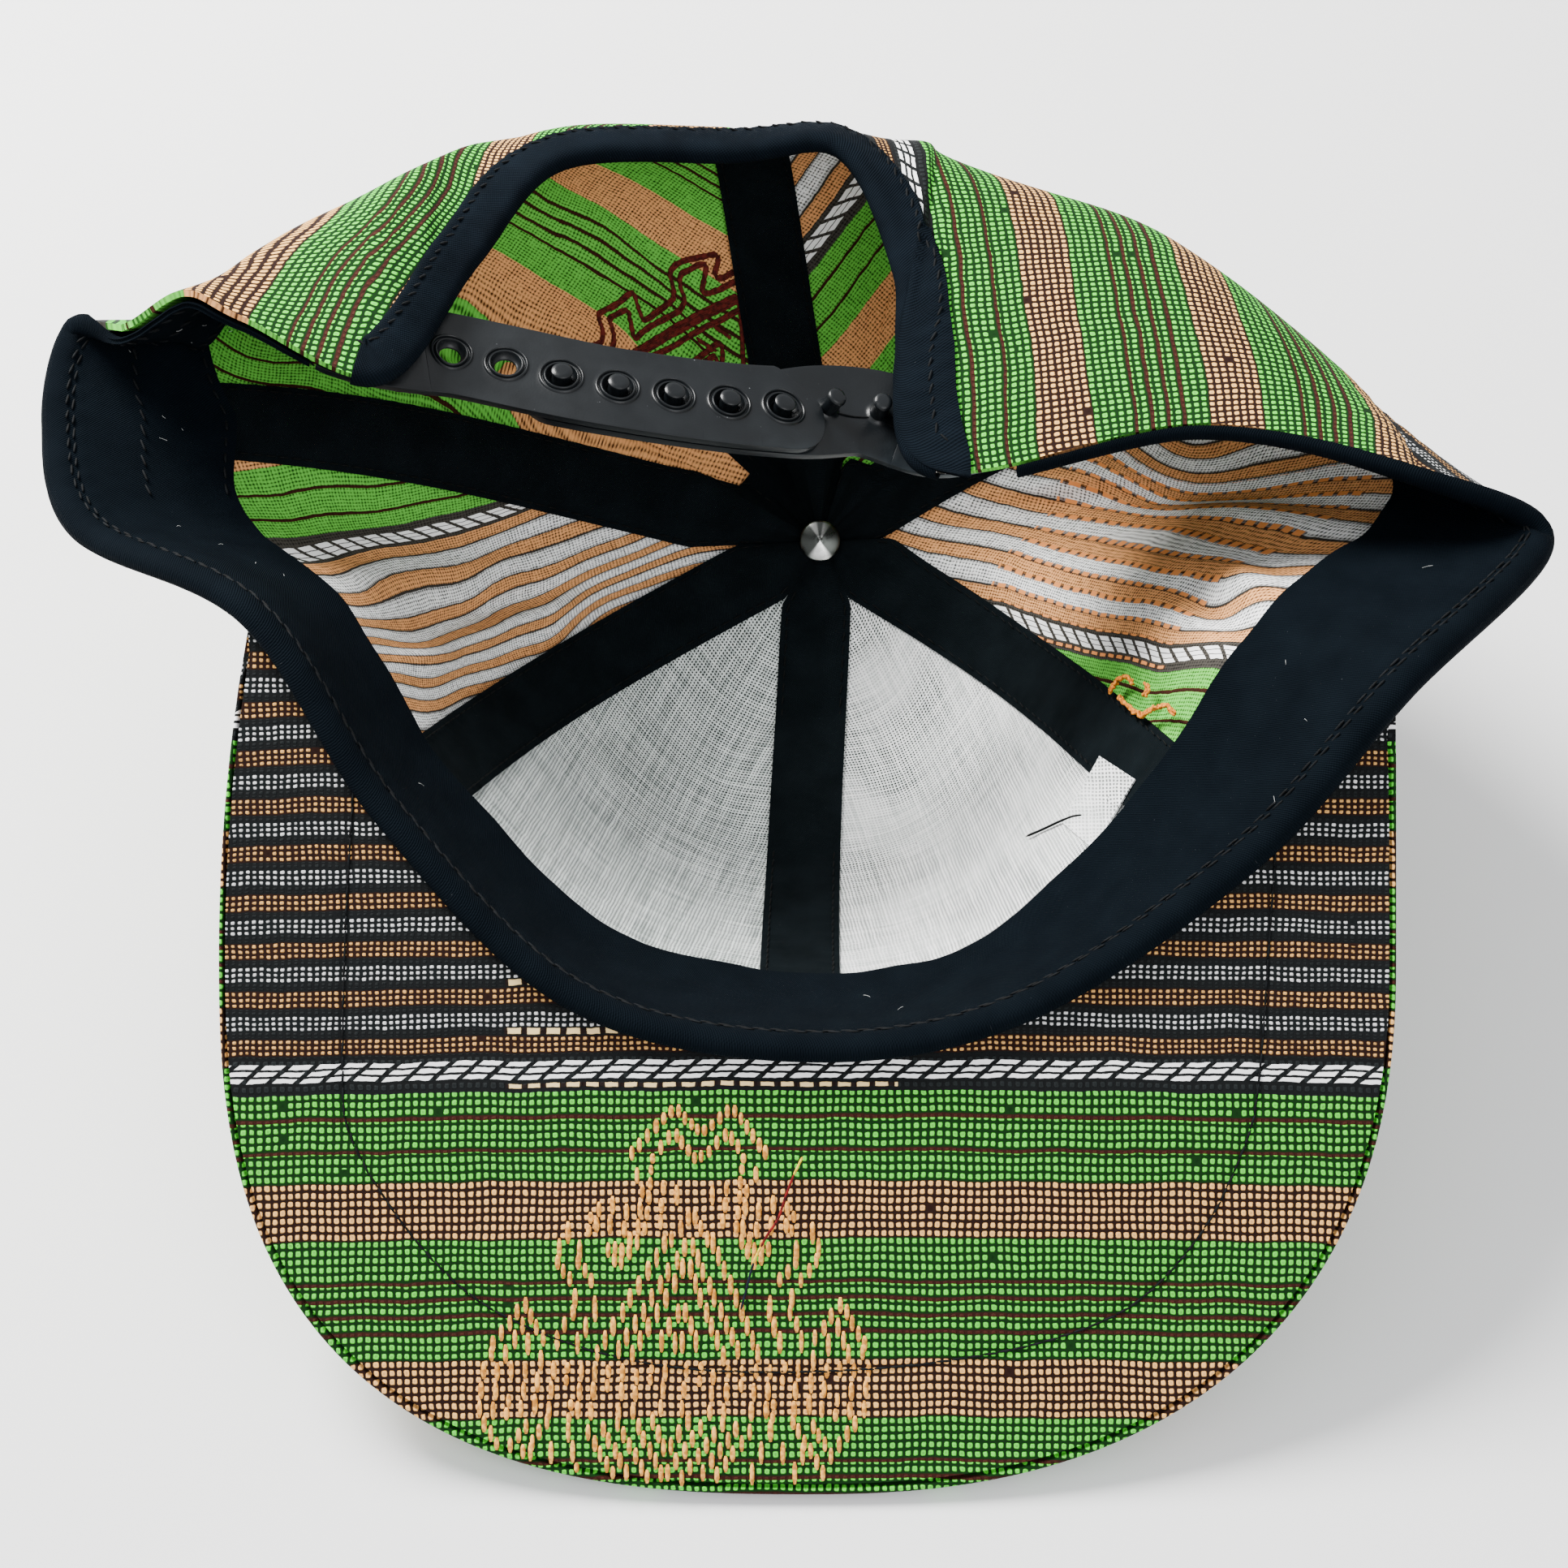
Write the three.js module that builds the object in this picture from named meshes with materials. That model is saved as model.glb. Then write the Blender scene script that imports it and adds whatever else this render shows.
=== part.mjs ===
// A six-panel snapback cap lying upside down, its inside up and leaning forward, in millimetres.
// Cap frame: X to the cap's right as seen from above the opening, Y to the back, Z out of the opening.
// The peak's underside is the plane Z = 0 and the crown hangs below it. The last step turns the cap
// onto its rest: the front shoulder of the crown and the tip of the peak share the floor Z = 0.
import * as THREE from "three";

const FORWARD_LEAN_DEG = 37.7;
const GAP = 0.3;

// Depths are measured inward from the crown's outer surface.
const CLOTH_T = 1.1;
const BUCKRAM_T = 0.6;
const TAPE_T = 0.6;
const TAPE_W = 14;
const BAND_T = 0.8;
const BAND_W = 30;
// The band narrows in the tight turn behind the left corner: centre row, rows each way, millimetres.
const BAND_NARROWS = { row: 5.9, over: 2.1, by: 17 };
const BINDING_T = 0.6;
const BINDING_W = 7;
const BINDING_CLEAR = 0.8;
const INNER_LAYER = CLOTH_T + GAP;
const OVER_BUCKRAM = INNER_LAYER + BUCKRAM_T + GAP;

const HUB_RADIUS = 3.5;
const BUTTON = new THREE.Vector3(3.1, 46.6, -106);

// One row per meridian of the crown, from the button to the cloth's edge, going round from the rear
// centre past the left side to the front and back along the right side.
// Columns: name, edge x y z, wall handle x y z from the edge, crown handle x y from the button,
// and how many strips the cloth is drawn in up to the next row.
const MERIDIANS = [
  ["rear_centre", -12.6, 113.2, -62, 3, 22, -22, -12, 54, 3],
  ["arch_left_top", -43.4, 110.4, -55, -1, 26, -24, -30, 60, 3],
  ["arch_left_side", -57.1, 90.3, -38, -9, 48, -28, -42, 74, 4],
  ["arch_left_foot", -69.9, 67.2, -14, -12, 68, -32, -54, 74, 3],
  ["rear_left_rim", -92.9, 77.1, -16, -3, 42, -46, -60, 60, 3],
  ["left_fold", -103.3, 81.8, -18, 9, 15, -46, -64, 48, 3],
  ["left_dip", -114.6, 76.9, -24, 29, 7, -38, -64, 38, 2],
  ["left_corner_top", -124.4, 78.0, -34, 46, 4, -20, -62, 30, 2],
  ["left_rear_seam", -127.0, 61.3, -30, 56, 4, -22, -62, 14, 2],
  ["left_corner_low", -119.8, 41.6, -18, 42, 6, -38, -62, 2, 3],
  ["left_peak_end", -89.6, 26.5, 0, 16, 4, -62, -60, -8, 3],
  ["front_left_seam", -68.2, -5.1, 0, 8, 12, -64, -54, -28, 3],
  ["front_left_mid", -38.3, -34.5, 0, 6, 13, -66, -30, -50, 3],
  ["front_centre", -1.3, -43.1, 0, 0, 14, -68, -3, -60, 3],
  ["front_right_mid", 34.4, -36.9, 0, -6, 15, -66, 26, -50, 3],
  ["front_right_seam", 70.8, -12.2, 0, -24, 26, -52, 50, -28, 4],
  ["right_peak_end", 94.8, 14.8, 0, -40, 24, -42, 58, -8, 4],
  ["right_corner", 123.2, 40.9, -24, -36, 16, -38, 66, 8, 4],
  ["right_rear_seam", 102.2, 52.1, -20, 2, 32, -50, 58, 42, 4],
  ["rear_right_rim", 66.6, 60.8, -28, 12, 58, -34, 54, 60, 4],
  ["arch_right_foot", 20.1, 54.4, -36, 13, 86, -28, 30, 86, 4],
  ["arch_right_side", 17.1, 89.4, -52, 8, 48, -20, 22, 80, 4],
  ["arch_right_top", 7, 113.8, -62, 4, 17, -22, 8, 66, 3],
];
const COUNT = MERIDIANS.length;
const at = (name) => MERIDIANS.findIndex((row) => row[0] === name);

// Lines round the crown that all its layers share, by length from the edge; the rest are even.
const EDGE_LINES = [0, 2.5, 9, 16, 23, 28.5];
const CROWN_LINES = 8;
const LAST_LINE = EDGE_LINES.length - 1 + CROWN_LINES;

const PEAK = { halfWidth: 94.4, middleY: -27.8, reach: 86.1, leftPinch: 4.2 };
const PEAK_ROUNDNESS = { left: 2.65, right: 2.38 };
const PEAK_UNDER_T = 1;
const PEAK_UPPER_T = 1.7;
const PEAK_ROLL = 1.6;
const PEAK_RIGHT_END = 15.86;

// Snap strap: stations of the plane between its two halves, given as x y z and the strap's tilt.
const STRAP = { width: 18, thickness: 1.2, pitch: 9.6, holes: 7, pegs: 7, plugged: 5, endReach: 7.1 };
const STRAP_STATIONS = [
  [-60.3, 72, -29, 35],
  [-32.5, 66.5, -31, 36],
  [-5, 63.9, -37.5, 34],
  [8.7, 65.2, -45, 28],
];
const HOLE_RINGS = [[2.5, 0.5], [3.7, 0.4]];
const PEG_RINGS = [[1.5, 4.4], [2, 3.9], [1.9, 0]];

const COLOURS = {
  green_cloth: "#5f9a52",
  tan_cloth: "#b98f6a",
  striped_cloth: "#a79a8a",
  buckram: "#d5d9d4",
  black_twill: "#202124",
  black_plastic: "#151618",
  steel: "#b8bbbe",
};

const lean = THREE.MathUtils.degToRad(FORWARD_LEAN_DEG);
const X_AXIS = new THREE.Vector3(1, 0, 0);

function tableAt(u) {
  const first = Math.floor(u);
  const f = u - first;
  const [a, b, c, d] = [-1, 0, 1, 2].map((k) => MERIDIANS[(first + k + 2 * COUNT) % COUNT]);
  const value = (k) =>
    0.5 * (2 * b[k] + (c[k] - a[k]) * f + (2 * a[k] - 5 * b[k] + 4 * c[k] - d[k]) * f * f
      + (3 * b[k] - a[k] - 3 * c[k] + d[k]) * f * f * f);
  return [1, 2, 3, 4, 5, 6, 7, 8].map(value);
}

const meridianCache = new Map();

// The meridian at u as a curve with a table of lengths from the edge.
function meridian(u) {
  const key = Math.round(u * 1e6);
  if (!meridianCache.has(key)) {
    const [ex, ey, ez, wx, wy, wz, cx, cy] = tableAt(u);
    const edge = new THREE.Vector3(ex, ey, ez);
    const wall = edge.clone().add(new THREE.Vector3(wx, wy, wz));
    const crown = BUTTON.clone().add(new THREE.Vector3(cx, cy, 0));
    const curve = new THREE.CubicBezierCurve3(edge, wall, crown, BUTTON);
    curve.arcLengthDivisions = 60;
    const out = edge.clone().sub(wall).normalize();
    meridianCache.set(key, { edge, out, curve, length: curve.getLength() });
  }
  return meridianCache.get(key);
}

// Point on the outer surface at length s from the edge; below zero it runs on past the edge.
function onSurface(u, s) {
  const line = meridian(u);
  if (s < 0) return line.edge.clone().addScaledVector(line.out, -s);
  return line.curve.getPointAt(Math.min(1, s / line.length));
}

function tangents(u, s) {
  const du = 1e-3;
  const ds = 0.2;
  const across = onSurface(u + du, s).sub(onSurface(u - du, s)).divideScalar(2 * du);
  const down = onSurface(u, s + ds).sub(onSurface(u, s - ds)).divideScalar(2 * ds);
  return { across, down, normal: down.clone().cross(across).normalize() };
}

// Turns a cap-frame point to the rest pose and keeps it above the floor by its depth in the wall.
function rest(point, depth = 0) {
  const turned = point.clone().applyAxisAngle(X_AXIS, lean);
  turned.z = Math.max(turned.z, FLOOR + depth);
  return turned;
}

// Point inside the wall: u round the crown, s from the edge, depth inward from the outer surface.
function inWall(u, s, depth) {
  return onSurface(u, s).addScaledVector(tangents(u, s).normal, -depth);
}

// The shared strips from one row to another, as u values.
function strips(from, to, finer = 1) {
  const list = [from];
  for (let row = Math.floor(from); row < to; row += 1) {
    const parts = MERIDIANS[row % COUNT][9] * finer;
    for (let k = 1; k <= parts; k += 1) {
      const u = row + k / parts;
      if (u > from + 0.05 && u < to - 0.05) list.push(u);
    }
  }
  return [...list, to];
}

function lineAt(u, j) {
  const fixed = EDGE_LINES.length - 1;
  if (j <= fixed) return EDGE_LINES[j];
  const last = EDGE_LINES[fixed];
  return last + ((j - fixed) / CROWN_LINES) * (meridian(u).length - HUB_RADIUS - last);
}

// Walks w millimetres over the surface from the edge at u, square to that edge.
function fromEdge(u, w) {
  const start = tangents(u, 0);
  const square = start.across.clone().cross(start.normal).normalize();
  if (square.dot(start.down) < 0) square.negate();
  const steps = Math.max(1, Math.ceil(Math.abs(w)));
  const place = { u, s: 0 };
  for (let k = 0; k < steps; k += 1) {
    const { across, down } = tangents(place.u, place.s);
    const aa = across.dot(across);
    const ad = across.dot(down);
    const dd = down.dot(down);
    const det = aa * dd - ad * ad;
    const pa = square.dot(across);
    const pd = square.dot(down);
    place.u += ((pa * dd - pd * ad) / det) * (w / steps);
    place.s += ((pd * aa - pa * ad) / det) * (w / steps);
  }
  return place;
}

function makeMesh(name, colour, points, triangles) {
  const flat = points.flatMap((p) => [p.x, p.y, p.z]);
  let volume = 0;
  for (const [a, b, c] of triangles) {
    volume += points[a].dot(points[b].clone().cross(points[c]));
  }
  const order = volume < 0 ? triangles.map(([a, b, c]) => [a, c, b]) : triangles;
  const geometry = new THREE.BufferGeometry();
  geometry.setAttribute("position", new THREE.Float32BufferAttribute(flat, 3));
  geometry.setIndex(order.flat());
  geometry.computeVertexNormals();
  const material = new THREE.MeshStandardMaterial({ color: COLOURS[colour], roughness: 0.8 });
  material.name = colour;
  const mesh = new THREE.Mesh(geometry, material);
  mesh.name = name;
  return mesh;
}

// Closed sheet between two grids of points: front(i, j) and back(i, j).
function makeSheet(name, colour, columns, lines, front, back) {
  const points = [];
  const triangles = [];
  const stride = lines + 1;
  const layer = (columns + 1) * stride;
  for (const side of [front, back]) {
    for (let i = 0; i <= columns; i += 1) {
      for (let j = 0; j <= lines; j += 1) points.push(side(i, j));
    }
  }
  const quad = (a, b, c, d) => triangles.push([a, b, c], [a, c, d]);
  for (let i = 0; i < columns; i += 1) {
    for (let j = 0; j < lines; j += 1) {
      const k = i * stride + j;
      quad(k, k + stride, k + stride + 1, k + 1);
      quad(layer + k, layer + k + 1, layer + k + stride + 1, layer + k + stride);
    }
  }
  const rim = [];
  for (let i = 0; i < columns; i += 1) rim.push(i * stride);
  for (let j = 0; j < lines; j += 1) rim.push(columns * stride + j);
  for (let i = columns; i > 0; i -= 1) rim.push(i * stride + lines);
  for (let j = lines; j > 0; j -= 1) rim.push(j);
  rim.forEach((a, k) => {
    const b = rim[(k + 1) % rim.length];
    quad(b, a, layer + a, layer + b);
  });
  return makeMesh(name, colour, points, triangles);
}

// Thickens a centre line of [w, depth] points by t, giving the two faces with mitred corners.
function profileFaces(line, t) {
  const face = (sign) => line.map(([w, d], k) => {
    const before = line[Math.max(0, k - 1)];
    const after = line[Math.min(line.length - 1, k + 1)];
    const unit = ([ax, ay], [bx, by]) => {
      const n = Math.hypot(bx - ax, by - ay) || 1;
      return [(bx - ax) / n, (by - ay) / n];
    };
    const first = k > 0 ? unit(before, line[k]) : unit(line[k], after);
    const second = k < line.length - 1 ? unit(line[k], after) : first;
    const nx = -(first[1] + second[1]);
    const ny = first[0] + second[0];
    const n = Math.hypot(nx, ny);
    const mitre = (sign * t) / 2 / Math.max(0.5, n / 2);
    return [w + (nx / n) * mitre, d + (ny / n) * mitre];
  });
  return [face(1), face(-1)];
}

// Cloth or stiffener between two seams, from one shared line to another, clear of the seam by inset.
function wedge(name, colour, seams, lines, inset, depth, thickness) {
  const us = strips(...seams);
  const columns = us.length - 1;
  const side = (d) => (i, j) => {
    const line = lines[0] + j;
    const across = tangents(us[i], lineAt(us[i], line)).across.length();
    const u = us[i] + ((i === 0) - (i === columns)) * (inset / across);
    return rest(inWall(u, lineAt(u, line), d), d);
  };
  return makeSheet(name, colour, columns, lines[1] - lines[0], side(depth), side(depth + thickness));
}

function panel(name, colour, from, to) {
  return wedge(name, colour, [from, to], [0, LAST_LINE], GAP / 2, 0, CLOTH_T);
}

function buckram(name, from, to) {
  const underBand = EDGE_LINES.length - 2;
  return wedge(name, "buckram", [from, to], [underBand, LAST_LINE], 1, INNER_LAYER, BUCKRAM_T);
}

// Tape along the seam at u, narrowing to a wedge where the six tapes meet round the button.
function seamTape(name, u, before, after, depth, first) {
  const side = (d) => (i, j) => {
    const s = lineAt(u, first + j);
    const span = tangents(u, s).across.length();
    const free = i < 2 ? u - before : after - u;
    const half = Math.min(TAPE_W / 2 / span, free / 2 - GAP / 2 / span);
    const v = u + ((i - 2) / 2) * half;
    return rest(inWall(v, lineAt(v, first + j), d), d);
  };
  return makeSheet(name, "black_twill", 4, LAST_LINE - first, side(depth), side(depth + TAPE_T));
}

function sweatband() {
  const us = strips(at("arch_left_foot") + 0.5, at("arch_right_foot") - 0.4);
  const centre = [[-1.6, -0.7], [-1.6, 1.5], [0.4, 2.6], [9, 2.3], [16, 2.3], [23, 2.5], [BAND_W, 3.9]];
  const [a, b] = profileFaces(centre, BAND_T);
  const narrowing = (u) => {
    const away = Math.min(1, Math.abs(u - BAND_NARROWS.row) / BAND_NARROWS.over);
    return 1 - (BAND_NARROWS.by / BAND_W) * (1 - away * away);
  };
  const side = (face, clear) => (i, j) => {
    const point = inWall(us[i], face[j][0] * narrowing(us[i]), face[j][1]);
    const overPeak = us[i] >= at("left_peak_end") && us[i] <= at("right_peak_end");
    if (overPeak && j === 0) point.z = Math.max(point.z, clear);
    return rest(point, Math.max(0, face[j][1]));
  };
  const columns = us.length - 1;
  const [upper, lower] = [side(b, GAP + BAND_T), side(a, GAP)];
  return makeSheet("sweatband", "black_twill", columns, centre.length - 1, upper, lower);
}

function archBinding() {
  const us = strips(at("arch_right_foot") + 0.16, COUNT + at("arch_left_foot") - 0.14);
  const outer = -BINDING_CLEAR - BINDING_T / 2;
  const inner = CLOTH_T + BINDING_CLEAR + BINDING_T / 2;
  const middle = CLOTH_T / 2;
  const centre = [
    [BINDING_W, outer], [BINDING_W / 2, outer], [-0.5, outer], [-0.95, middle],
    [-0.5, inner], [BINDING_W / 2, inner], [BINDING_W, inner],
  ];
  const [a, b] = profileFaces(centre, BINDING_T);
  const side = (face) => (i, j) => {
    const place = fromEdge(us[i], face[j][0]);
    return rest(inWall(place.u, place.s, face[j][1]));
  };
  const columns = us.length - 1;
  return makeSheet("arch_binding", "black_twill", columns, centre.length - 1, side(a), side(b));
}

// The peak's outer edge: slightly pinched sides and a rounded front, evenly spaced by length.
function peakOutline(leftY, rightY) {
  const line = [];
  const pinch = (y, amount) => PEAK.halfWidth - amount * ((y - PEAK.middleY) / 50) ** 2;
  for (let k = 0; k < 12; k += 1) {
    const y = leftY + ((PEAK.middleY - leftY) * k) / 12;
    line.push(new THREE.Vector3(-pinch(y, PEAK.leftPinch), y, 0));
  }
  for (let k = 0; k <= 60; k += 1) {
    const turn = (Math.PI * k) / 60;
    const power = 2 / (k < 30 ? PEAK_ROUNDNESS.left : PEAK_ROUNDNESS.right);
    const x = -Math.sign(Math.cos(turn)) * PEAK.halfWidth * Math.abs(Math.cos(turn)) ** power;
    line.push(new THREE.Vector3(x, PEAK.middleY - PEAK.reach * Math.sin(turn) ** power, 0));
  }
  for (let k = 1; k <= 12; k += 1) {
    const y = PEAK.middleY + ((rightY - PEAK.middleY) * k) / 12;
    line.push(new THREE.Vector3(pinch(y, 0), y, 0));
  }
  return evenly(line);
}

function evenly(line) {
  const lengths = [0];
  for (let k = 1; k < line.length; k += 1) {
    lengths.push(lengths[k - 1] + line[k].distanceTo(line[k - 1]));
  }
  return (f) => {
    const want = f * lengths.at(-1);
    const k = Math.max(1, lengths.findIndex((l) => l >= want - 1e-9));
    const part = (want - lengths[k - 1]) / (lengths[k] - lengths[k - 1]);
    return line[k - 1].clone().lerp(line[k], part);
  };
}

function peakCover(name, colour, rootDepth, stops) {
  const us = strips(at("left_peak_end"), PEAK_RIGHT_END, 2);
  const root = us.map((u) => inWall(u, rootDepth, -GAP - 0.2).setZ(0));
  const along = [0];
  root.slice(1).forEach((p, k) => along.push(along[k] + p.distanceTo(root[k])));
  const outline = peakOutline(root[0].y, root.at(-1).y);
  const side = (face) => (i, j) => {
    const far = outline(along[i] / along.at(-1));
    const width = root[i].distanceTo(far);
    const { share, inset, top, bottom } = stops[j];
    const reach = inset === undefined ? share * 0.55 : 1 - Math.min(inset / width, inset * 0.2);
    const point = root[i].clone().lerp(far, reach);
    point.z = face === "top" ? top : bottom;
    if (width < 6) point.z = Math.min(point.z, stops[0].top);
    return rest(point);
  };
  return makeSheet(name, colour, us.length - 1, stops.length - 1, side("top"), side("bottom"));
}

function peakUnderCover() {
  const flat = { top: 0, bottom: -PEAK_UNDER_T };
  return peakCover("peak_under_cover", "green_cloth", 0, [
    { share: 0, ...flat }, { share: 0.7, ...flat },
    { inset: PEAK_ROLL + GAP, ...flat },
  ]);
}

function peakUpperCover() {
  const top = -PEAK_UNDER_T - GAP;
  const bottom = top - PEAK_UPPER_T;
  return peakCover("peak_upper_cover", "green_cloth", 2.2, [
    { share: 0, top, bottom }, { share: 0.7, top, bottom },
    { inset: PEAK_ROLL - 0.3, top, bottom }, { inset: PEAK_ROLL - 0.4, top: -0.35, bottom },
    { inset: 0, top: -0.8, bottom: bottom + 0.6 },
  ]);
}

// The surface between the strap's halves: position, width direction and face direction at length l,
// with l = 0 at the first hole.
function strapFrame() {
  const half = STRAP.width / 2;
  const outerHalf = GAP / 2 + STRAP.thickness;
  const under = OVER_BUCKRAM + outerHalf;
  const over = OVER_BUCKRAM - GAP / 2;
  const tucked = (u, depth) => {
    const low = inWall(u, 1.5, depth);
    const high = inWall(u, 1.5 + STRAP.width, depth);
    return [low.clone().lerp(high, 0.5), high.sub(low).normalize()];
  };
  const leftFoot = at("arch_left_foot");
  const rightFoot = at("arch_right_foot");
  const free = STRAP_STATIONS.map(([x, y, z, tilt]) => {
    const angle = THREE.MathUtils.degToRad(tilt);
    return [new THREE.Vector3(x, y, z), new THREE.Vector3(0, Math.cos(angle), -Math.sin(angle))];
  });
  const stations = [
    tucked(leftFoot + 0.38, under), tucked(leftFoot + 0.1, under + 1), ...free,
    tucked(rightFoot - 0.02, over + 3.5), tucked(rightFoot - 0.3, over),
  ];
  const path = new THREE.CatmullRomCurve3(stations.map((s) => s[0]), false, "centripetal");
  const tilts = new THREE.CatmullRomCurve3(stations.map((s) => s[1]), false, "centripetal");
  path.arcLengthDivisions = 400;
  const steps = stations.length - 1;
  const lengths = path.getLengths(400);
  const lengthAt = (t) => lengths[Math.round(t * 400)];
  const zero = lengthAt(2 / steps);
  const place = (l, w, h) => {
    const f = THREE.MathUtils.clamp((zero + l) / lengths[400], 0, 1);
    const t = path.getUtoTmapping(f);
    const along = path.getTangent(t);
    const width = tilts.getPoint(t);
    width.addScaledVector(along, -width.dot(along)).normalize();
    const face = along.clone().cross(width);
    return rest(path.getPoint(t).addScaledVector(width, w).addScaledVector(face, h));
  };
  return { place, half, left: -zero, right: lengths[400] - zero };
}

// Collects flat cells of [l, w, lift] corners, then gives them the strap's thickness.
function strapSolid(name, frame, base, cells) {
  const keys = new Map();
  const flat = [];
  const triangles = [];
  const index = ([l, w, lift]) => {
    const key = `${l.toFixed(3)},${w.toFixed(3)}`;
    if (!keys.has(key)) {
      keys.set(key, flat.length);
      flat.push([l, w, lift]);
    }
    return keys.get(key);
  };
  for (const cell of cells) {
    const [a, b, c, d] = cell.map(index);
    triangles.push([a, b, c]);
    if (d !== undefined) triangles.push([a, c, d]);
  }
  const top = flat.map(([l, w, lift]) => frame.place(l, w, base + STRAP.thickness + lift));
  const bottom = flat.map(([l, w]) => frame.place(l, w, base));
  const all = [...triangles];
  const open = new Map();
  for (const [a, b, c] of triangles) {
    all.push([a + flat.length, c + flat.length, b + flat.length]);
    for (const [p, q] of [[a, b], [b, c], [c, a]]) {
      if (open.has(`${q},${p}`)) open.delete(`${q},${p}`);
      else open.set(`${p},${q}`, [p, q]);
    }
  }
  for (const [p, q] of open.values()) {
    all.push([q, p, p + flat.length], [q, p + flat.length, q + flat.length]);
  }
  return makeMesh(name, "black_plastic", [...top, ...bottom], all);
}

const QUARTERS = [-1, -0.5, 0, 0.5, 1];

function plainCells(from, to, half) {
  return QUARTERS.slice(1).map((q, k) => {
    const [low, high] = [QUARTERS[k] * half, q * half];
    return [[from, low, 0], [to, low, 0], [to, high, 0], [from, high, 0]];
  });
}

// One pitch of strap round a hole or a peg at length l, from rings of [radius, lift]. The side that
// end points to, 1 or -1, is the strap's rounded tip.
function ringCells(l, half, rings, closed, end = 0) {
  const h = STRAP.pitch / 2;
  const q = half / 2;
  const tipSide = [[STRAP.endReach, 0], [STRAP.endReach - 0.6, q], [STRAP.endReach * 0.55, half * 0.92]];
  const plainSide = [[h, 0], [h, q], [h, half]];
  const [ahead, behind] = [end > 0 ? tipSide : plainSide, end < 0 ? tipSide : plainSide];
  const border = [
    ahead[0], ahead[1], ahead[2], [0, half],
    ...[2, 1, 0].map((k) => [-behind[k][0], behind[k][1]]),
    ...[1, 2].map((k) => [-behind[k][0], -behind[k][1]]),
    [0, -half], ...[2, 1].map((k) => [ahead[k][0], -ahead[k][1]]),
  ].map(([x, w]) => [l + x, w, 0]);
  const circle = ([r, lift]) => border.map((_, k) => {
    const turn = (2 * Math.PI * k) / border.length;
    return [l + r * Math.cos(turn), r * Math.sin(turn), lift];
  });
  const loops = [...rings.map(circle), border];
  const cells = [];
  for (let r = 1; r < loops.length; r += 1) {
    border.forEach((_, k) => {
      const next = (k + 1) % border.length;
      cells.push([loops[r - 1][k], loops[r][k], loops[r][next], loops[r - 1][next]]);
    });
  }
  if (closed) {
    const tip = [l, 0, rings[0][1]];
    border.forEach((_, k) => cells.push([tip, loops[0][k], loops[0][(k + 1) % border.length]]));
  }
  return cells;
}

// Plain strap between two lengths in even steps.
function plainRun(from, to, half) {
  const steps = 3;
  const cut = (k) => from + ((to - from) * k) / steps;
  return [0, 1, 2].flatMap((k) => plainCells(cut(k), cut(k + 1), half));
}

function strapHalves() {
  const frame = strapFrame();
  const { half } = frame;
  const { pitch, thickness, holes, pegs, plugged } = STRAP;
  const holeCells = plainRun(frame.left, -pitch / 2, half);
  for (let k = 0; k < holes; k += 1) {
    holeCells.push(...ringCells(k * pitch, half, HOLE_RINGS, false, k === holes - 1 ? 1 : 0));
  }
  const firstPeg = (holes - plugged) * pitch;
  const pegCells = plainRun(firstPeg + (pegs - 0.5) * pitch, frame.right, half);
  for (let k = 0; k < pegs; k += 1) {
    pegCells.push(...ringCells(firstPeg + k * pitch, half, PEG_RINGS, true, k === 0 ? -1 : 0));
  }
  return [
    strapSolid("strap_with_holes", frame, GAP / 2, holeCells),
    strapSolid("strap_with_pegs", frame, -GAP / 2 - thickness, pegCells),
  ];
}

// Turned piece on the button's axis, from [radius, height] points that start and end on the axis.
function turnedPiece(name, colour, base, line) {
  const turns = 16;
  const points = [];
  const triangles = [];
  const rings = line.slice(1, -1);
  const place = (r, h, k) => {
    const turn = (2 * Math.PI * k) / turns;
    return rest(new THREE.Vector3(r * Math.cos(turn), r * Math.sin(turn), base + h)
      .add(new THREE.Vector3(BUTTON.x, BUTTON.y, BUTTON.z)));
  };
  points.push(place(0, line[0][1], 0), place(0, line.at(-1)[1], 0));
  rings.forEach(([r, h]) => {
    for (let k = 0; k < turns; k += 1) points.push(place(r, h, k));
  });
  const ring = (r, k) => 2 + r * turns + (k % turns);
  for (let k = 0; k < turns; k += 1) {
    triangles.push([0, ring(0, k + 1), ring(0, k)]);
    for (let r = 1; r < rings.length; r += 1) {
      triangles.push([ring(r - 1, k), ring(r - 1, k + 1), ring(r, k + 1)]);
      triangles.push([ring(r - 1, k), ring(r, k + 1), ring(r, k)]);
    }
    triangles.push([1, ring(rings.length - 1, k), ring(rings.length - 1, k + 1)]);
  }
  return makeMesh(name, colour, points, triangles);
}

// The floor passes through the lowest point of the peak's tip.
const peakBottom = -PEAK_UNDER_T - GAP - PEAK_UPPER_T + 0.1;
const tip = new THREE.Vector3(0, PEAK.middleY - PEAK.reach + 0.4, peakBottom);
const FLOOR = tip.applyAxisAngle(X_AXIS, lean).z;

const seam = Object.fromEntries(
  ["rear_centre", "left_rear_seam", "front_left_seam", "front_centre", "front_right_seam",
    "right_rear_seam"].map((name) => [name, at(name)]));
const wrapEnd = COUNT;
const rearDepth = INNER_LAYER;
const frontDepth = OVER_BUCKRAM;
const underBandEnd = EDGE_LINES.length - 1;

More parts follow.
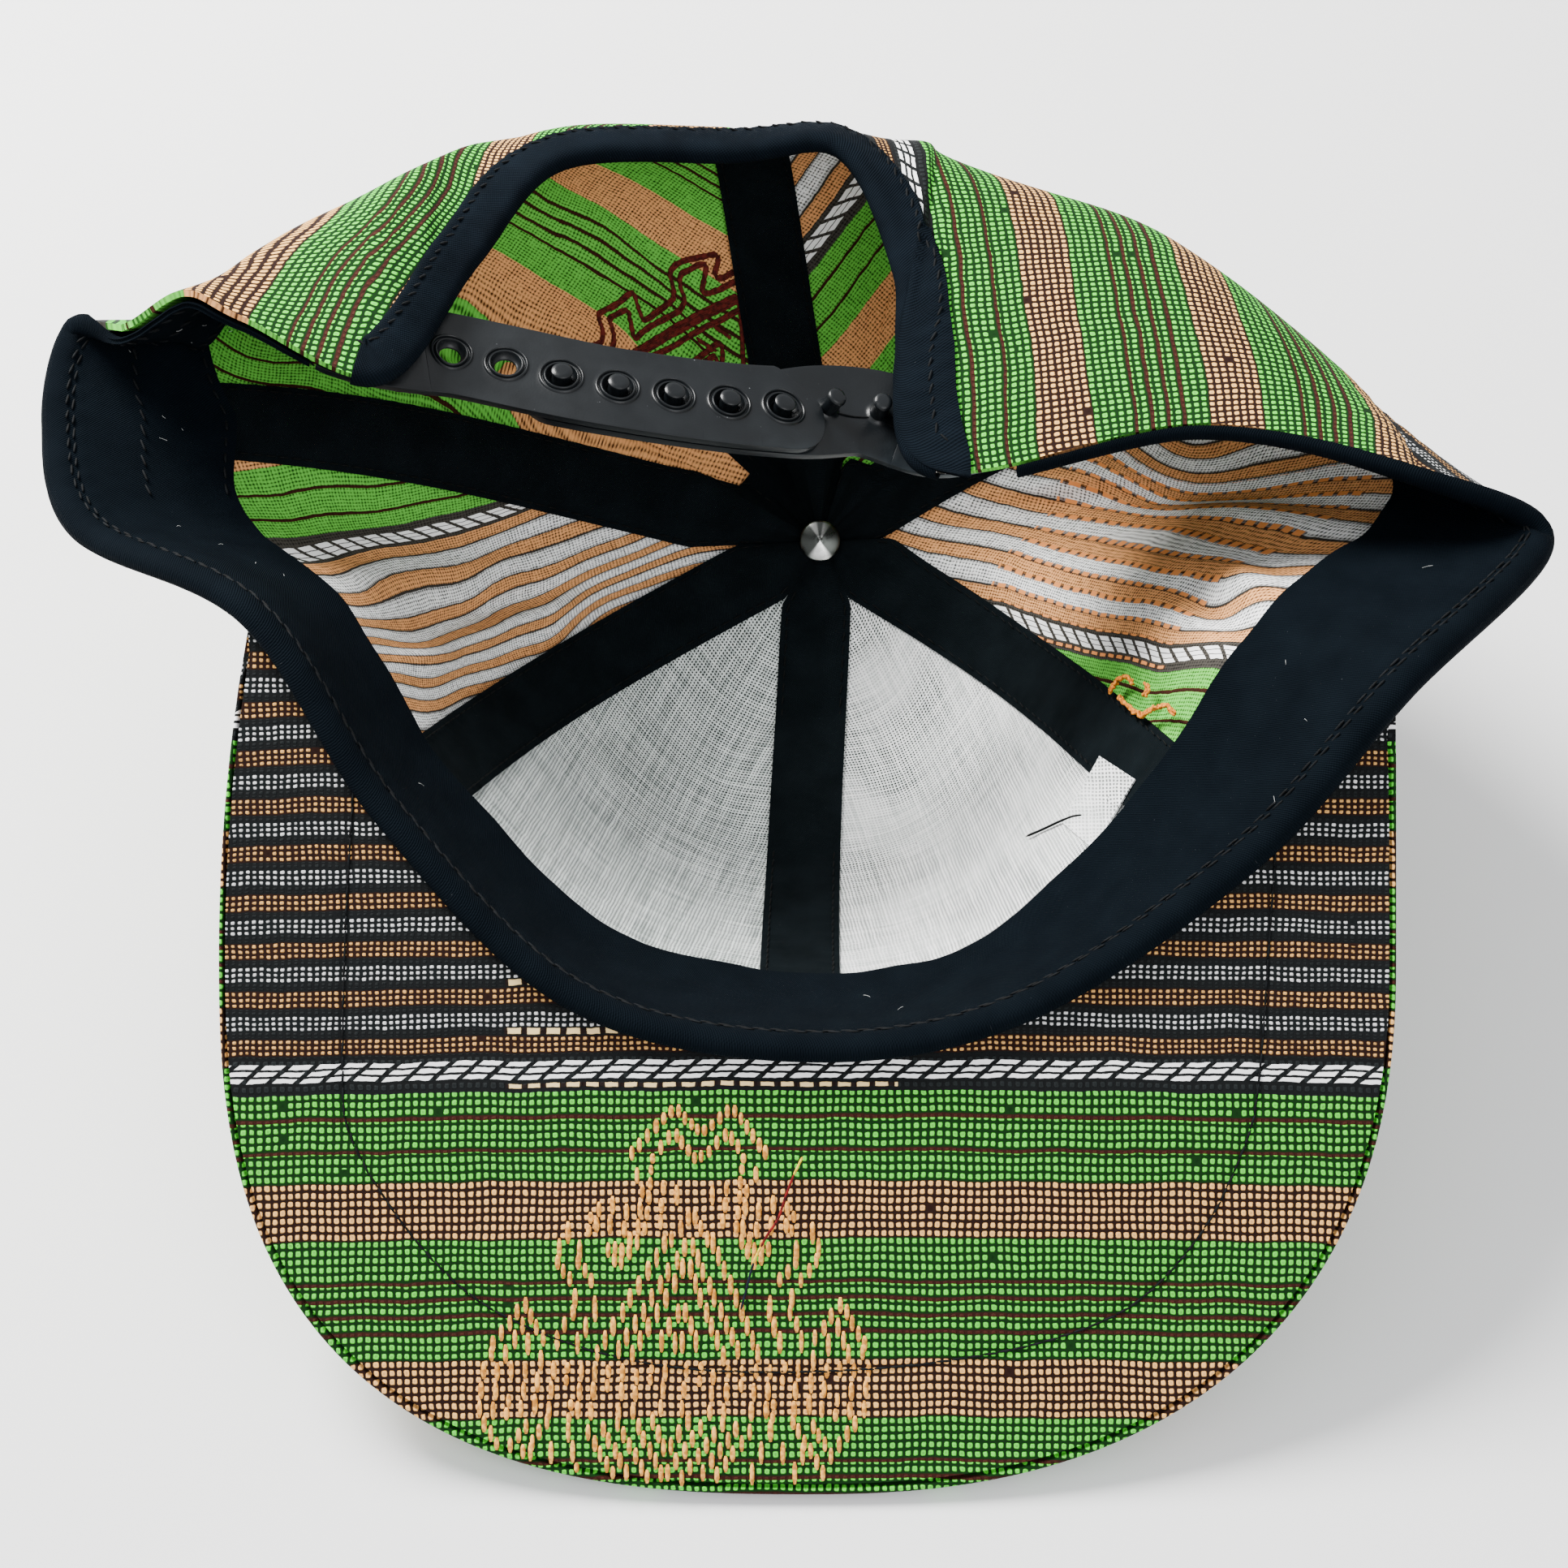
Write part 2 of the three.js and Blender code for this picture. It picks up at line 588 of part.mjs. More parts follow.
const meshes = [
  panel("rear_left_panel", "tan_cloth", seam.rear_centre, seam.left_rear_seam),
  panel("side_left_panel", "striped_cloth", seam.left_rear_seam, seam.front_left_seam),
  panel("front_left_panel", "green_cloth", seam.front_left_seam, seam.front_centre),
  panel("front_right_panel", "green_cloth", seam.front_centre, seam.front_right_seam),
  panel("side_right_panel", "striped_cloth", seam.front_right_seam, seam.right_rear_seam),
  panel("rear_right_panel", "green_cloth", seam.right_rear_seam, wrapEnd),
  buckram("front_left_buckram", seam.front_left_seam, seam.front_centre),
  buckram("front_right_buckram", seam.front_centre, seam.front_right_seam),
  seamTape("rear_centre_tape", wrapEnd, seam.right_rear_seam, wrapEnd + seam.left_rear_seam,
    rearDepth, 2),
  seamTape("left_rear_tape", seam.left_rear_seam, seam.rear_centre, seam.front_left_seam,
    rearDepth, underBandEnd),
  seamTape("front_left_tape", seam.front_left_seam, seam.left_rear_seam, seam.front_centre,
    frontDepth, underBandEnd),
  seamTape("front_centre_tape", seam.front_centre, seam.front_left_seam, seam.front_right_seam,
    frontDepth, underBandEnd),
  seamTape("front_right_tape", seam.front_right_seam, seam.front_centre, seam.right_rear_seam,
    frontDepth, underBandEnd),
  seamTape("right_rear_tape", seam.right_rear_seam, seam.front_right_seam, wrapEnd,
    rearDepth, underBandEnd),
  sweatband(),
  archBinding(),
  peakUnderCover(),
  peakUpperCover(),
  ...strapHalves(),
  turnedPiece("crown_button", "green_cloth", 0,
    [[0, -GAP], [1.6, -GAP], [6.6, -GAP], [7, -1], [6, -3], [3.6, -4.4], [0, -4.9]]),
  turnedPiece("button_rivet", "steel", frontDepth + TAPE_T + GAP,
    [[0, 0], [3.4, 0], [3.9, 0.4], [3.4, 0.9], [2.2, 1.3], [0, 1.4]]),
];

const cap = new THREE.Group();
cap.name = "snapback_cap";
cap.add(...meshes);
const box = new THREE.Box3();
meshes.forEach((mesh) => {
  mesh.geometry.computeBoundingBox();
  box.union(mesh.geometry.boundingBox);
});
const middle = box.getCenter(new THREE.Vector3());
meshes.forEach((mesh) => mesh.geometry.translate(-middle.x, -middle.y, -box.min.z));

export default cap;
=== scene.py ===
import math

import bmesh
import bpy
import numpy as np
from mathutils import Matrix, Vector


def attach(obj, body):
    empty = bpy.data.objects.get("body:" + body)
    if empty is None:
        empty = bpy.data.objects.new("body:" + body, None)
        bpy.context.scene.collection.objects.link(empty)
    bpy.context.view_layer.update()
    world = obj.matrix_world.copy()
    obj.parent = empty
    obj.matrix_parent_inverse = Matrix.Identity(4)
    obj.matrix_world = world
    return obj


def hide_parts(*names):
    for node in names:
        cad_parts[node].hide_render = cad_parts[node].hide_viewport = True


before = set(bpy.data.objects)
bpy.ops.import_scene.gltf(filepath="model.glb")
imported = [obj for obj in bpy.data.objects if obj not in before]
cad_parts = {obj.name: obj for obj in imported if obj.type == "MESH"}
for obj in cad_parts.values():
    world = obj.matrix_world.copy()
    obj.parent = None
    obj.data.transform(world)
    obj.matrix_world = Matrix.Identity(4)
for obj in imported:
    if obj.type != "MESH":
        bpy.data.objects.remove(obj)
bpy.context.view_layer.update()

bl_info = {
    "name": "Snapback cap",
    "version": (1, 0, 0),
    "blender": (4, 5, 0),
    "location": "View3D > Sidebar > Cap",
    "description": "Dresses the packed cap: woven cloth, tape, buckram, plastic strap, stitches and threads",
    "category": "Mesh",
}

MM = 0.001

# The crown's surface, in the cap frame and in millimetres.
# X is the cap's right, Y its back, Z out of the opening. The part frame is this one turned by LEAN.
LEAN = math.radians(37.7)
MIDDLE = np.array([-2.0887, 27.8865])
FLOOR = -71.7029
BUTTON = np.array([3.1, 46.6, -106.0])
HUB_RADIUS = 3.5
CLOTH_T = 1.1
INNER_LAYER = 1.4
OVER_BUCKRAM = 2.3

# Rows from the rear centre past the left side to the front and back along the right side.
# Columns: name, edge x y z, wall handle x y z from the edge, crown handle x y from the button.
MERIDIANS = (
    ("rear_centre", -12.6, 113.2, -62, 3, 22, -22, -12, 54),
    ("arch_left_top", -43.4, 110.4, -55, -1, 26, -24, -30, 60),
    ("arch_left_side", -57.1, 90.3, -38, -9, 48, -28, -42, 74),
    ("arch_left_foot", -69.9, 67.2, -14, -12, 68, -32, -54, 74),
    ("rear_left_rim", -92.9, 77.1, -16, -3, 42, -46, -60, 60),
    ("left_fold", -103.3, 81.8, -18, 9, 15, -46, -64, 48),
    ("left_dip", -114.6, 76.9, -24, 29, 7, -38, -64, 38),
    ("left_corner_top", -124.4, 78.0, -34, 46, 4, -20, -62, 30),
    ("left_rear_seam", -127.0, 61.3, -30, 56, 4, -22, -62, 14),
    ("left_corner_low", -119.8, 41.6, -18, 42, 6, -38, -62, 2),
    ("left_peak_end", -89.6, 26.5, 0, 16, 4, -62, -60, -8),
    ("front_left_seam", -68.2, -5.1, 0, 8, 12, -64, -54, -28),
    ("front_left_mid", -38.3, -34.5, 0, 6, 13, -66, -30, -50),
    ("front_centre", -1.3, -43.1, 0, 0, 14, -68, -3, -60),
    ("front_right_mid", 34.4, -36.9, 0, -6, 15, -66, 26, -50),
    ("front_right_seam", 70.8, -12.2, 0, -24, 26, -52, 50, -28),
    ("right_peak_end", 94.8, 14.8, 0, -40, 24, -42, 58, -8),
    ("right_corner", 123.2, 40.9, -24, -36, 16, -38, 66, 8),
    ("right_rear_seam", 102.2, 52.1, -20, 2, 32, -50, 58, 42),
    ("rear_right_rim", 66.6, 60.8, -28, 12, 58, -34, 54, 60),
    ("arch_right_foot", 20.1, 54.4, -36, 13, 86, -28, 30, 86),
    ("arch_right_side", 17.1, 89.4, -52, 8, 48, -20, 22, 80),
    ("arch_right_top", 7.0, 113.8, -62, 4, 17, -22, 8, 66),
)
COUNT = len(MERIDIANS)
ROW = {row[0]: k for k, row in enumerate(MERIDIANS)}
TABLE = np.array([row[1:] for row in MERIDIANS], float)
CURVE_STEPS = 80


def between(a, b, c, d, f):
    """A smooth step from b to c at the shares f, with a and d as their neighbours."""
    return 0.5 * (2 * b + (c - a) * f + (2 * a - 5 * b + 4 * c - d) * f**2
                  + (3 * b - a - 3 * c + d) * f**3)


def run_length(line):
    """Length along a line of points up to each of them."""
    return np.concatenate([[0], np.cumsum(np.linalg.norm(np.diff(line, axis=0), axis=1))])


def read_at(want, places, columns):
    """Each column's value at the wanted places."""
    return np.stack([np.interp(want, places, column) for column in np.transpose(columns)], -1)


def rise(value, start, over):
    """0 up to start, and from there evenly up to 1 over the given distance."""
    return np.clip((value - start) / over, 0, 1)


def ripple(along, pitch, shift=0.0):
    return np.sin(along * 2 * math.pi / pitch + shift)


def at_height(spots, height):
    """Points over the x and y of a line or grid, at the given height."""
    return np.stack(np.broadcast_arrays(spots[..., 0], spots[..., 1], height), -1)


def table_at(u):
    """The table's values at each u, smooth and periodic."""
    first = np.floor(u).astype(int)
    return between(*(TABLE[(first + k) % COUNT] for k in (-1, 0, 1, 2)), (u - first)[:, None])


def meridians(u):
    """Control points (n, 4, 3) of the meridians at u, and their lengths from the edge."""
    row = table_at(np.asarray(u, float))
    edge = row[:, 0:3]
    crown = BUTTON + np.concatenate([row[:, 6:8], np.zeros((len(row), 1))], 1)
    controls = np.stack([edge, edge + row[:, 3:6], crown, np.tile(BUTTON, (len(row), 1))], 1)
    t = np.linspace(0, 1, CURVE_STEPS + 1)
    points = np.einsum("tk,nkc->ntc", bezier(t), controls)
    steps = np.linalg.norm(np.diff(points, axis=1), axis=2)
    lengths = np.concatenate([np.zeros((len(row), 1)), np.cumsum(steps, 1)], 1)
    return controls, lengths


def bezier(t):
    r = 1 - t
    return np.stack([r**3, 3 * r * r * t, 3 * r * t * t, t**3], -1)


def length_of(u):
    return meridians(u)[1][:, -1]


def on_surface(u, s):
    """Points (n, m, 3) of the outer surface at u (n,) and lengths s (n, m) from the edge."""
    controls, lengths = meridians(u)
    k = np.clip((lengths[:, None, :] < s[:, :, None]).sum(2) - 1, 0, CURVE_STEPS - 1)
    low = np.take_along_axis(lengths, k, 1)
    high = np.take_along_axis(lengths, k + 1, 1)
    t = (k + np.clip((s - low) / (high - low), 0, 1)) / CURVE_STEPS
    points = np.einsum("nmk,nkc->nmc", bezier(t), controls)
    out = controls[:, 0] - controls[:, 1]
    out /= np.linalg.norm(out, axis=1)[:, None]
    return points + out[:, None] * np.maximum(-s, 0)[:, :, None]


def tangents(u, s):
    """Per row of u and per millimetre of s, with the outward normal."""
    du, ds = 1e-3, 0.2
    across = (on_surface(u + du, s) - on_surface(u - du, s)) / (2 * du)
    down = (on_surface(u, s + ds) - on_surface(u, s - ds)) / (2 * ds)
    normal = np.cross(down, across)
    return across, down, normal / np.linalg.norm(normal, axis=2)[:, :, None]


def smooth_noise(x, y, seed, octaves=2):
    """Value noise from -1 to 1 with a unit cell."""
    total = np.zeros(np.broadcast(x, y).shape)
    for octave in range(octaves):
        scale = 2**octave
        table = np.random.default_rng(seed + octave).uniform(-1, 1, (64, 64))
        gx, gy = np.asarray(x) * scale, np.asarray(y) * scale
        ix, iy = np.floor(gx).astype(int), np.floor(gy).astype(int)
        fx, fy = gx - ix, gy - iy
        fx, fy = fx * fx * (3 - 2 * fx), fy * fy * (3 - 2 * fy)
        at = lambda i, j: table[(ix + i) % 64, (iy + j) % 64]
        top = at(0, 0) * (1 - fx) + at(1, 0) * fx
        low = at(0, 1) * (1 - fx) + at(1, 1) * fx
        total += (top * (1 - fy) + low * fy) / scale
    return total


# Soft creases of the crown: row u and length s of the middle, width in rows, length in millimetres,
# rows moved for each 10 mm of length, and height outward in millimetres.
CREASES = (
    ("left_fold_shadow", 10.38, 80, 0.10, 24, -0.02, -2.3),
    ("left_fold_ridge", 10.16, 84, 0.10, 26, -0.03, 1.7),
    ("left_pinch", 10.45, 55, 0.09, 9, 0.06, -2.3),
    ("left_upper_wave", 9.75, 70, 0.16, 26, -0.03, -0.9),
    ("left_lower_wave", 9.4, 40, 0.14, 14, 0.03, 1.3),
    ("right_top_fold", 17.3, 104, 0.12, 20, 0.03, -2.1),
    ("right_top_ridge", 17.05, 92, 0.12, 24, 0.02, 1.7),
    ("right_middle_wave", 16.75, 60, 0.13, 18, 0.03, -1.8),
    ("right_low_fold", 16.2, 44, 0.10, 12, 0.06, -2.1),
    ("right_low_ridge", 16.0, 50, 0.10, 16, 0.05, 1.7),
    ("right_corner_pull", 16.6, 34, 0.14, 10, -0.05, 1.5),
    ("rear_right_soft", 19.2, 60, 0.35, 26, 0.0, 0.9),
    ("rear_right_pull", 20.3, 40, 0.10, 18, 0.0, -0.8),
    ("rear_left_soft", 4.4, 52, 0.3, 20, 0.0, -0.8),
    ("rear_left_pull", 2.5, 20, 0.12, 10, 0.04, 0.9),
)


def drape(u, s):
    """Height of the cloth over its plain surface: soft creases and a slow unevenness."""
    uu = np.broadcast_to(np.asarray(u)[:, None], s.shape)
    height = 0.35 * smooth_noise(uu * 1.1, s / 24, 5)
    for _, row, centre, wide, tall, turn, amount in CREASES:
        du = (uu - row - turn * (s - centre) / 10) / wide
        height = height + amount * np.exp(-du**2 - ((s - centre) / tall) ** 2)
    fade = rise(s, 4, 18) * rise(length_of(u)[:, None] - s, 12, 20)
    return height * fade * off_floor(u, s)


def off_floor(u, s):
    """0 where the cloth is pressed flat on the floor, 1 away from it."""
    z = turned(on_surface(u, s))[:, :, 2] - FLOOR
    return rise(z, 2, 8)


def turned(points):
    c, s = math.cos(LEAN), math.sin(LEAN)
    x, y, z = (points[..., k] for k in range(3))
    return np.stack([x, c * y - s * z, s * y + c * z], -1)


def rest(points, depth=0.0):
    """Cap-frame millimetres to part-frame metres, no lower than the layer's depth above the floor."""
    p = turned(points)
    p[..., 2] = np.maximum(p[..., 2], FLOOR + depth) - FLOOR
    p[..., :2] -= MIDDLE
    return p * MM


def in_wall(u, s, depth):
    """Points inside the wall, depth (n, m) inward from the outer surface, in the cap frame."""
    normal = tangents(u, s)[2]
    lift = drape(u, s) - depth
    return on_surface(u, s) + normal * lift[:, :, None]


def even_columns(start, end, spacing, share=0.3):
    """Values of u from start to end, evenly spaced along the crown at a share of its length."""
    fine = np.linspace(start, end, 240)
    s = (length_of(fine) * share)[:, None]
    along = run_length(on_surface(fine, s)[:, 0])
    count = max(2, int(math.ceil(along[-1] / spacing)))
    return np.interp(np.linspace(0, along[-1], count + 1), along, fine)


def across_lengths(points, middle):
    """Signed distance (n, m) across each line of a grid from its column number middle."""
    steps = np.linalg.norm(np.diff(points, axis=0), axis=2)
    along = np.concatenate([np.zeros((1, points.shape[1])), np.cumsum(steps, 0)], 0)
    low = int(middle)
    part = middle - low
    zero = along[low] * (1 - part) + along[min(low + 1, len(along) - 1)] * part
    return along - zero


# Meshes.


def grid_faces(columns, lines, closed=False):
    i, j = np.meshgrid(np.arange(columns - (not closed)), np.arange(lines - 1), indexing="ij")
    i, j = i.ravel(), j.ravel()
    n = (i + 1) % columns
    return np.stack([i * lines + j, n * lines + j, n * lines + j + 1, i * lines + j + 1], 1)


def sheet_arrays(front, back):
    """Vertices, quads and face kinds (0 front, 1 back, 2 rim) of a closed sheet of two grids."""
    n, m = front.shape[:2]
    verts = np.concatenate([front.reshape(-1, 3), back.reshape(-1, 3)])
    faces = grid_faces(n, m)
    layer = n * m
    rim = np.concatenate([np.arange(n - 1) * m, (n - 1) * m + np.arange(m - 1),
                          np.arange(n - 1, 0, -1) * m + m - 1, np.arange(m - 1, 0, -1)])
    ahead = np.roll(rim, -1)
    sides = np.stack([ahead, rim, rim + layer, ahead + layer], 1)
    quads = np.concatenate([faces, faces[:, ::-1] + layer, sides])
    kinds = np.repeat([0, 1, 2], [len(faces), len(faces), len(sides)])
    return verts, quads, kinds


def outward(verts, faces):
    """The faces, all turned round if together they enclose a negative volume."""
    a, b, c = (verts[faces[:, k]] for k in range(3))
    d = verts[faces[:, -1]]
    volume = np.einsum("ij,ij->", a, np.cross(b, c)) + np.einsum("ij,ij->", a, np.cross(c, d))
    return faces[:, ::-1] if volume < 0 else faces


def new_mesh(name, verts, faces, *materials, edges=()):
    mesh = bpy.data.meshes.new(name)
    mesh.from_pydata(verts, edges, faces)
    for material in materials:
        mesh.materials.append(material)
    return mesh


def linked(name, data):
    """A new object of the scene."""
    made = bpy.data.objects.new(name, data)
    bpy.context.scene.collection.objects.link(made)
    return made


def baked(piece):
    """The piece's mesh with its modifiers applied."""
    return bpy.data.meshes.new_from_object(piece.evaluated_get(bpy.context.evaluated_depsgraph_get()))


def smooth_shaded(mesh, sharp=None):
    """Shades a mesh smooth, but for edges sharper than the given degrees."""
    mesh.polygons.foreach_set("use_smooth", np.ones(len(mesh.polygons), bool))
    if sharp is not None:
        mesh.set_sharp_from_angle(angle=math.radians(sharp))


def make_piece(name, verts, faces, materials, kinds=None, uv=None, replaces=(), sharp=50):
    """A finished mesh object in the part frame that rides on the cap's one body."""
    faces = outward(verts, faces)
    mesh = new_mesh(name, verts.tolist(), faces.tolist(), *materials)
    if kinds is not None:
        top = len(materials) - 1
        mesh.polygons.foreach_set("material_index", np.minimum(kinds, top).astype(np.int32))
    if uv is not None:
        layer = mesh.uv_layers.new(name="weave")
        loops = np.empty(len(mesh.loops), np.int32)
        mesh.loops.foreach_get("vertex_index", loops)
        layer.data.foreach_set("uv", uv[loops].astype(np.float32).ravel())
    smooth_shaded(mesh, sharp)
    mesh.update()
    return place_piece(linked(name, mesh), replaces)


def place_piece(piece, replaces=()):
    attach(piece, "root")
    if replaces:
        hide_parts(*replaces)
    return piece


def make_sheet(name, front, back, materials, uv, replaces, sharp=50):
    verts, quads, kinds = sheet_arrays(front, back)
    flat_uv = np.concatenate([uv.reshape(-1, 2)] * 2)
    return make_piece(name, verts, quads, materials, kinds, flat_uv, replaces, sharp)


# Shader building.


class Signal:
    """One value in a node tree. Arithmetic on it adds Math nodes."""

    def __init__(self, tree, socket):
        self.tree = tree
        self.socket = socket

    def math(self, operation, *others, clamp=False):
        settings = {"operation": operation, "use_clamp": clamp}
        return node(self.tree, "ShaderNodeMath", settings=settings, ports=(self, *others))

    def __add__(self, other):
        return self.math("ADD", other)

    def __sub__(self, other):
        return self.math("SUBTRACT", other)

    def __mul__(self, other):
        return self.math("MULTIPLY", other)

    def __truediv__(self, other):
        return self.math("DIVIDE", other)

    def ramp(self, low, high, to_low=0.0, to_high=1.0):
        """Smooth step between low and high."""
        return node(self.tree, "ShaderNodeMapRange", settings={"interpolation_type": "SMOOTHSTEP"},
                    ports=(self, low, high, to_low, to_high))

    def ridge(self):
        """0 half way through each unit, and 1 at its ends."""
        return (self.math("FRACT") - 0.5).math("ABSOLUTE") * 2.0

    def within(self, middle, outer, inner):
        """1 near the middle value, falling to 0 between the inner and the outer distance."""
        return (self - middle).math("ABSOLUTE").ramp(outer, inner)

    def inverse(self):
        return self * -1.0 + 1.0

    def mix(self, low, high):
        """low where this is 0 and high where it is 1, for colours."""
        return node(self.tree, "ShaderNodeMix", outputs=2, settings={"data_type": "RGBA"},
                    ports=(self, *[None] * 5, low, high))


def feed(tree, port, value):
    if isinstance(value, Signal):
        tree.links.new(value.socket, port)
    elif value is not None:
        port.default_value = value


def node(tree, kind, outputs=0, settings=None, ports=(), **inputs):
    """Adds a node and gives its outputs, by number or name. Ports feed its inputs in order; keywords
    name them with underscores for spaces."""
    made = tree.nodes.new(kind)
    for key, value in (settings or {}).items():
        setattr(made, key, value)
    for port, value in zip(made.inputs, ports):
        feed(tree, port, value)
    for key, value in inputs.items():
        feed(tree, made.inputs[key.replace("_", " ")], value)
    if isinstance(outputs, (int, str)):
        return Signal(tree, made.outputs[outputs])
    return [Signal(tree, made.outputs[k]) for k in outputs]


def noise(tree, place, scale, detail):
    """Noise from 0 to 1 at a place."""
    return node(tree, "ShaderNodeTexNoise", Vector=place, Scale=scale, Detail=detail)


def cloth_place(tree, x, y):
    return node(tree, "ShaderNodeCombineXYZ", X=x, Y=y)


def own_place(tree):
    """The place in the piece's own space, in metres."""
    return node(tree, "ShaderNodeTexCoord", outputs=3)


def linear(code):
    """Linear RGBA of a #rrggbb colour."""
    parts = [int(code[k:k + 2], 16) / 255 for k in (1, 3, 5)]
    return (*[c / 12.92 if c <= 0.04045 else ((c + 0.055) / 1.055) ** 2.4 for c in parts], 1.0)


def new_group(name, inputs, outputs, kind="ShaderNodeTree"):
    """An empty node group and its inputs as signals by name."""
    tree = bpy.data.node_groups.new(name, kind)
    for title, kind, value in inputs:
        port = tree.interface.new_socket(name=title, in_out="INPUT", socket_type=kind)
        if value is not None:
            port.default_value = value
    for title, kind in outputs:
        tree.interface.new_socket(name=title, in_out="OUTPUT", socket_type=kind)
    source = tree.nodes.new("NodeGroupInput")
    return tree, {title: Signal(tree, source.outputs[title]) for title, _, _ in inputs}


def close_group(tree, **outputs):
    sink = tree.nodes.new("NodeGroupOutput")
    for title, value in outputs.items():
        feed(tree, sink.inputs[title], value)
    return tree


def use_group(tree, group, **inputs):
    made = tree.nodes.new("ShaderNodeGroup")
    made.node_tree = group
    for key, value in inputs.items():
        feed(tree, made.inputs[key.replace("_", " ")], value)
    return {port.name: Signal(tree, port) for port in made.outputs}


def new_material(name, roughness, specular=0.5, metallic=0.0):
    """A material with its tree and Principled shader."""
    material = bpy.data.materials.new(name)
    material.use_nodes = True
    shader = material.node_tree.nodes["Principled BSDF"]
    shader.inputs["Roughness"].default_value = roughness
    shader.inputs["Specular IOR Level"].default_value = specular
    shader.inputs["Metallic"].default_value = metallic
    return material, material.node_tree, shader


def dress(tree, shader, colour, height, bump, rough=None):
    """Feeds the shader a colour, bumps of a height signal, whose height of 1 is bump millimetres, and
    a roughness if it varies."""
    feed(tree, shader.inputs["Base Color"], colour)
    feed(tree, shader.inputs["Roughness"], rough)
    normal = node(tree, "ShaderNodeBump", Strength=1.0, Distance=bump * MM, Height=height)
    feed(tree, shader.inputs["Normal"], normal)


def weave_map(tree):
    """The piece's own cloth coordinates in millimetres: across the stripes, and along them."""
    uv = node(tree, "ShaderNodeUVMap", settings={"uv_map": "weave"})
    return node(tree, "ShaderNodeSeparateXYZ", outputs=(0, 1), Vector=uv)


# The cloth's stripes. Rows of cells lie along them; a thin line of thread stands between some rows.
ROW_PITCH = 1.34
COLUMN_PITCH = 1.25
LINE = ("line", 0.65)


def yarn_bands(*parts):
    """Bands (start, yarn), the cell rows' ends and starts, and the width of (yarn, width) parts."""
    bands, starts, ends, at = [], [], [], 0.0
    for yarn, width in parts:
        bands.append((at, yarn))
        if yarn == "line":
            ends.append(at)
            starts.append(at + width)
        at += width
    return bands, starts, ends + [at], at


STRIPE_PERIOD = 7.75
STRIPE_BANDS = ((0, "black"), (0.9, "white"), (3.45, "black"), (4.75, "tan"), (7.45, "black"))
REVERSE_STRIPE_BANDS = ((0, "black"), (0.15, "white"), (4.15, "black"), (4.6, "tan"), (7.6, "black"))
WHITE_ROWS = {"first": 0.9, "pitch": 0.85}
TAN_ROWS = {"first": 4.75, "pitch": 0.9}
STRIPE_COLUMN = 1.1
CHAIN_WIDTH = 5.9
CHAIN = {"first": 0.9, "rows": 3, "row": 1.08, "pitch": 4.35, "shift": 1.3, "share": 0.74, "slant": 1.25}
GREEN_TWO_LINES = yarn_bands(("green", 3.75), LINE, ("green", 4.75), LINE, ("green", 4.6),
                             ("tan", 9.3))
GREEN_FOUR_LINES = yarn_bands(("green", 6.6), LINE, ("green", 1.95), LINE, ("green", 2.05), LINE,
                              ("green", 2.05), LINE, ("green", 4.05), ("tan", 9.3))
BORDER_LENGTH = CHAIN_WIDTH + GREEN_TWO_LINES[3]
BORDER_BANDS = [(0, "black")] + [(CHAIN_WIDTH + at, yarn) for at, yarn in GREEN_TWO_LINES[0]]
FIELD_PERIOD = GREEN_FOUR_LINES[3]
FIELD_BANDS = GREEN_FOUR_LINES[0]

# The motif's long tan floats: a zone along the stripes, and how far it reaches across them.
FLOAT_ZONE = {"start": 0.0, "end": 63.0, "reach": -46.0, "pitch": 3.1, "share": 0.66}
# Lines of floats in each stripe: place, and how far from it they have faded out and begin to fade.
# The reverse has all three, the face only the first.
FLOAT_LINES = ((4.0, 0.55, 0.4), (0.1, 0.6, 0.45), (7.7, 0.5, 0.4))
CHAIN_FLOATS = (CHAIN_WIDTH - 0.95, 0.4, 0.3)
FLOAT_COLOURS = {"face": "#f5d596", "reverse": "#ea9450"}
# The soft shade along both edges of the white stripes on the reverse.
REVERSE_SHADE = {"middle": 2.15, "inner": (1.1, 2.0), "outer": (2.9, 2.3), "colour": "#2a2622"}
REVERSE_THREADS = {"across": 0.68, "along": 0.72}

# Yarn colours: raised cell and the gap beside it, on the face and on the reverse of the cloth.
FACE_YARNS = {
    "green": ("#55d93a", "#032404"), "tan": ("#ffc06f", "#1c0b06"), "line": ("#3a170d", "#2a1009"),
    "white": ("#ffffff", "#0b0f10"), "black": ("#191d1e", "#0b0d0e"),
}
REVERSE_YARNS = {
    "green": ("#62c246", "#17450f"), "tan": ("#e8a468", "#45260f"), "line": ("#331509", "#241006"),
    "white": ("#ffffff", "#3c403d"), "black": ("#3f3c37", "#181715"),
}


def band_colours(tree, place, period, bands, yarns):
    """Cell and gap colours of a programme of bands at a place from 0 to its period."""
    share = place / period
    found = []
    for kind in (0, 1):
        ramp = tree.nodes.new("ShaderNodeValToRGB")
        ramp.color_ramp.interpolation = "CONSTANT"
        stops = ramp.color_ramp.elements
        while len(stops) < len(bands):
            stops.new(0.5)
        for stop, (start, yarn) in zip(stops, bands):
            stop.position = start / period
        for stop, (start, yarn) in zip(stops, bands):
            stop.color = linear(yarns[yarn][kind])
        feed(tree, ramp.inputs[0], share)
        found.append(Signal(tree, ramp.outputs[0]))
    return found


def row_phase(place, starts, ends, pitch):
    """Row number at a place; each line of thread starts the rows anew, so that they end whole."""
    row = (place - ends[0]) / pitch
    for start, last, following in zip(starts, ends, ends[1:]):
        row = row - place.math("GREATER_THAN", start) * ((following - last) / pitch)
    return row


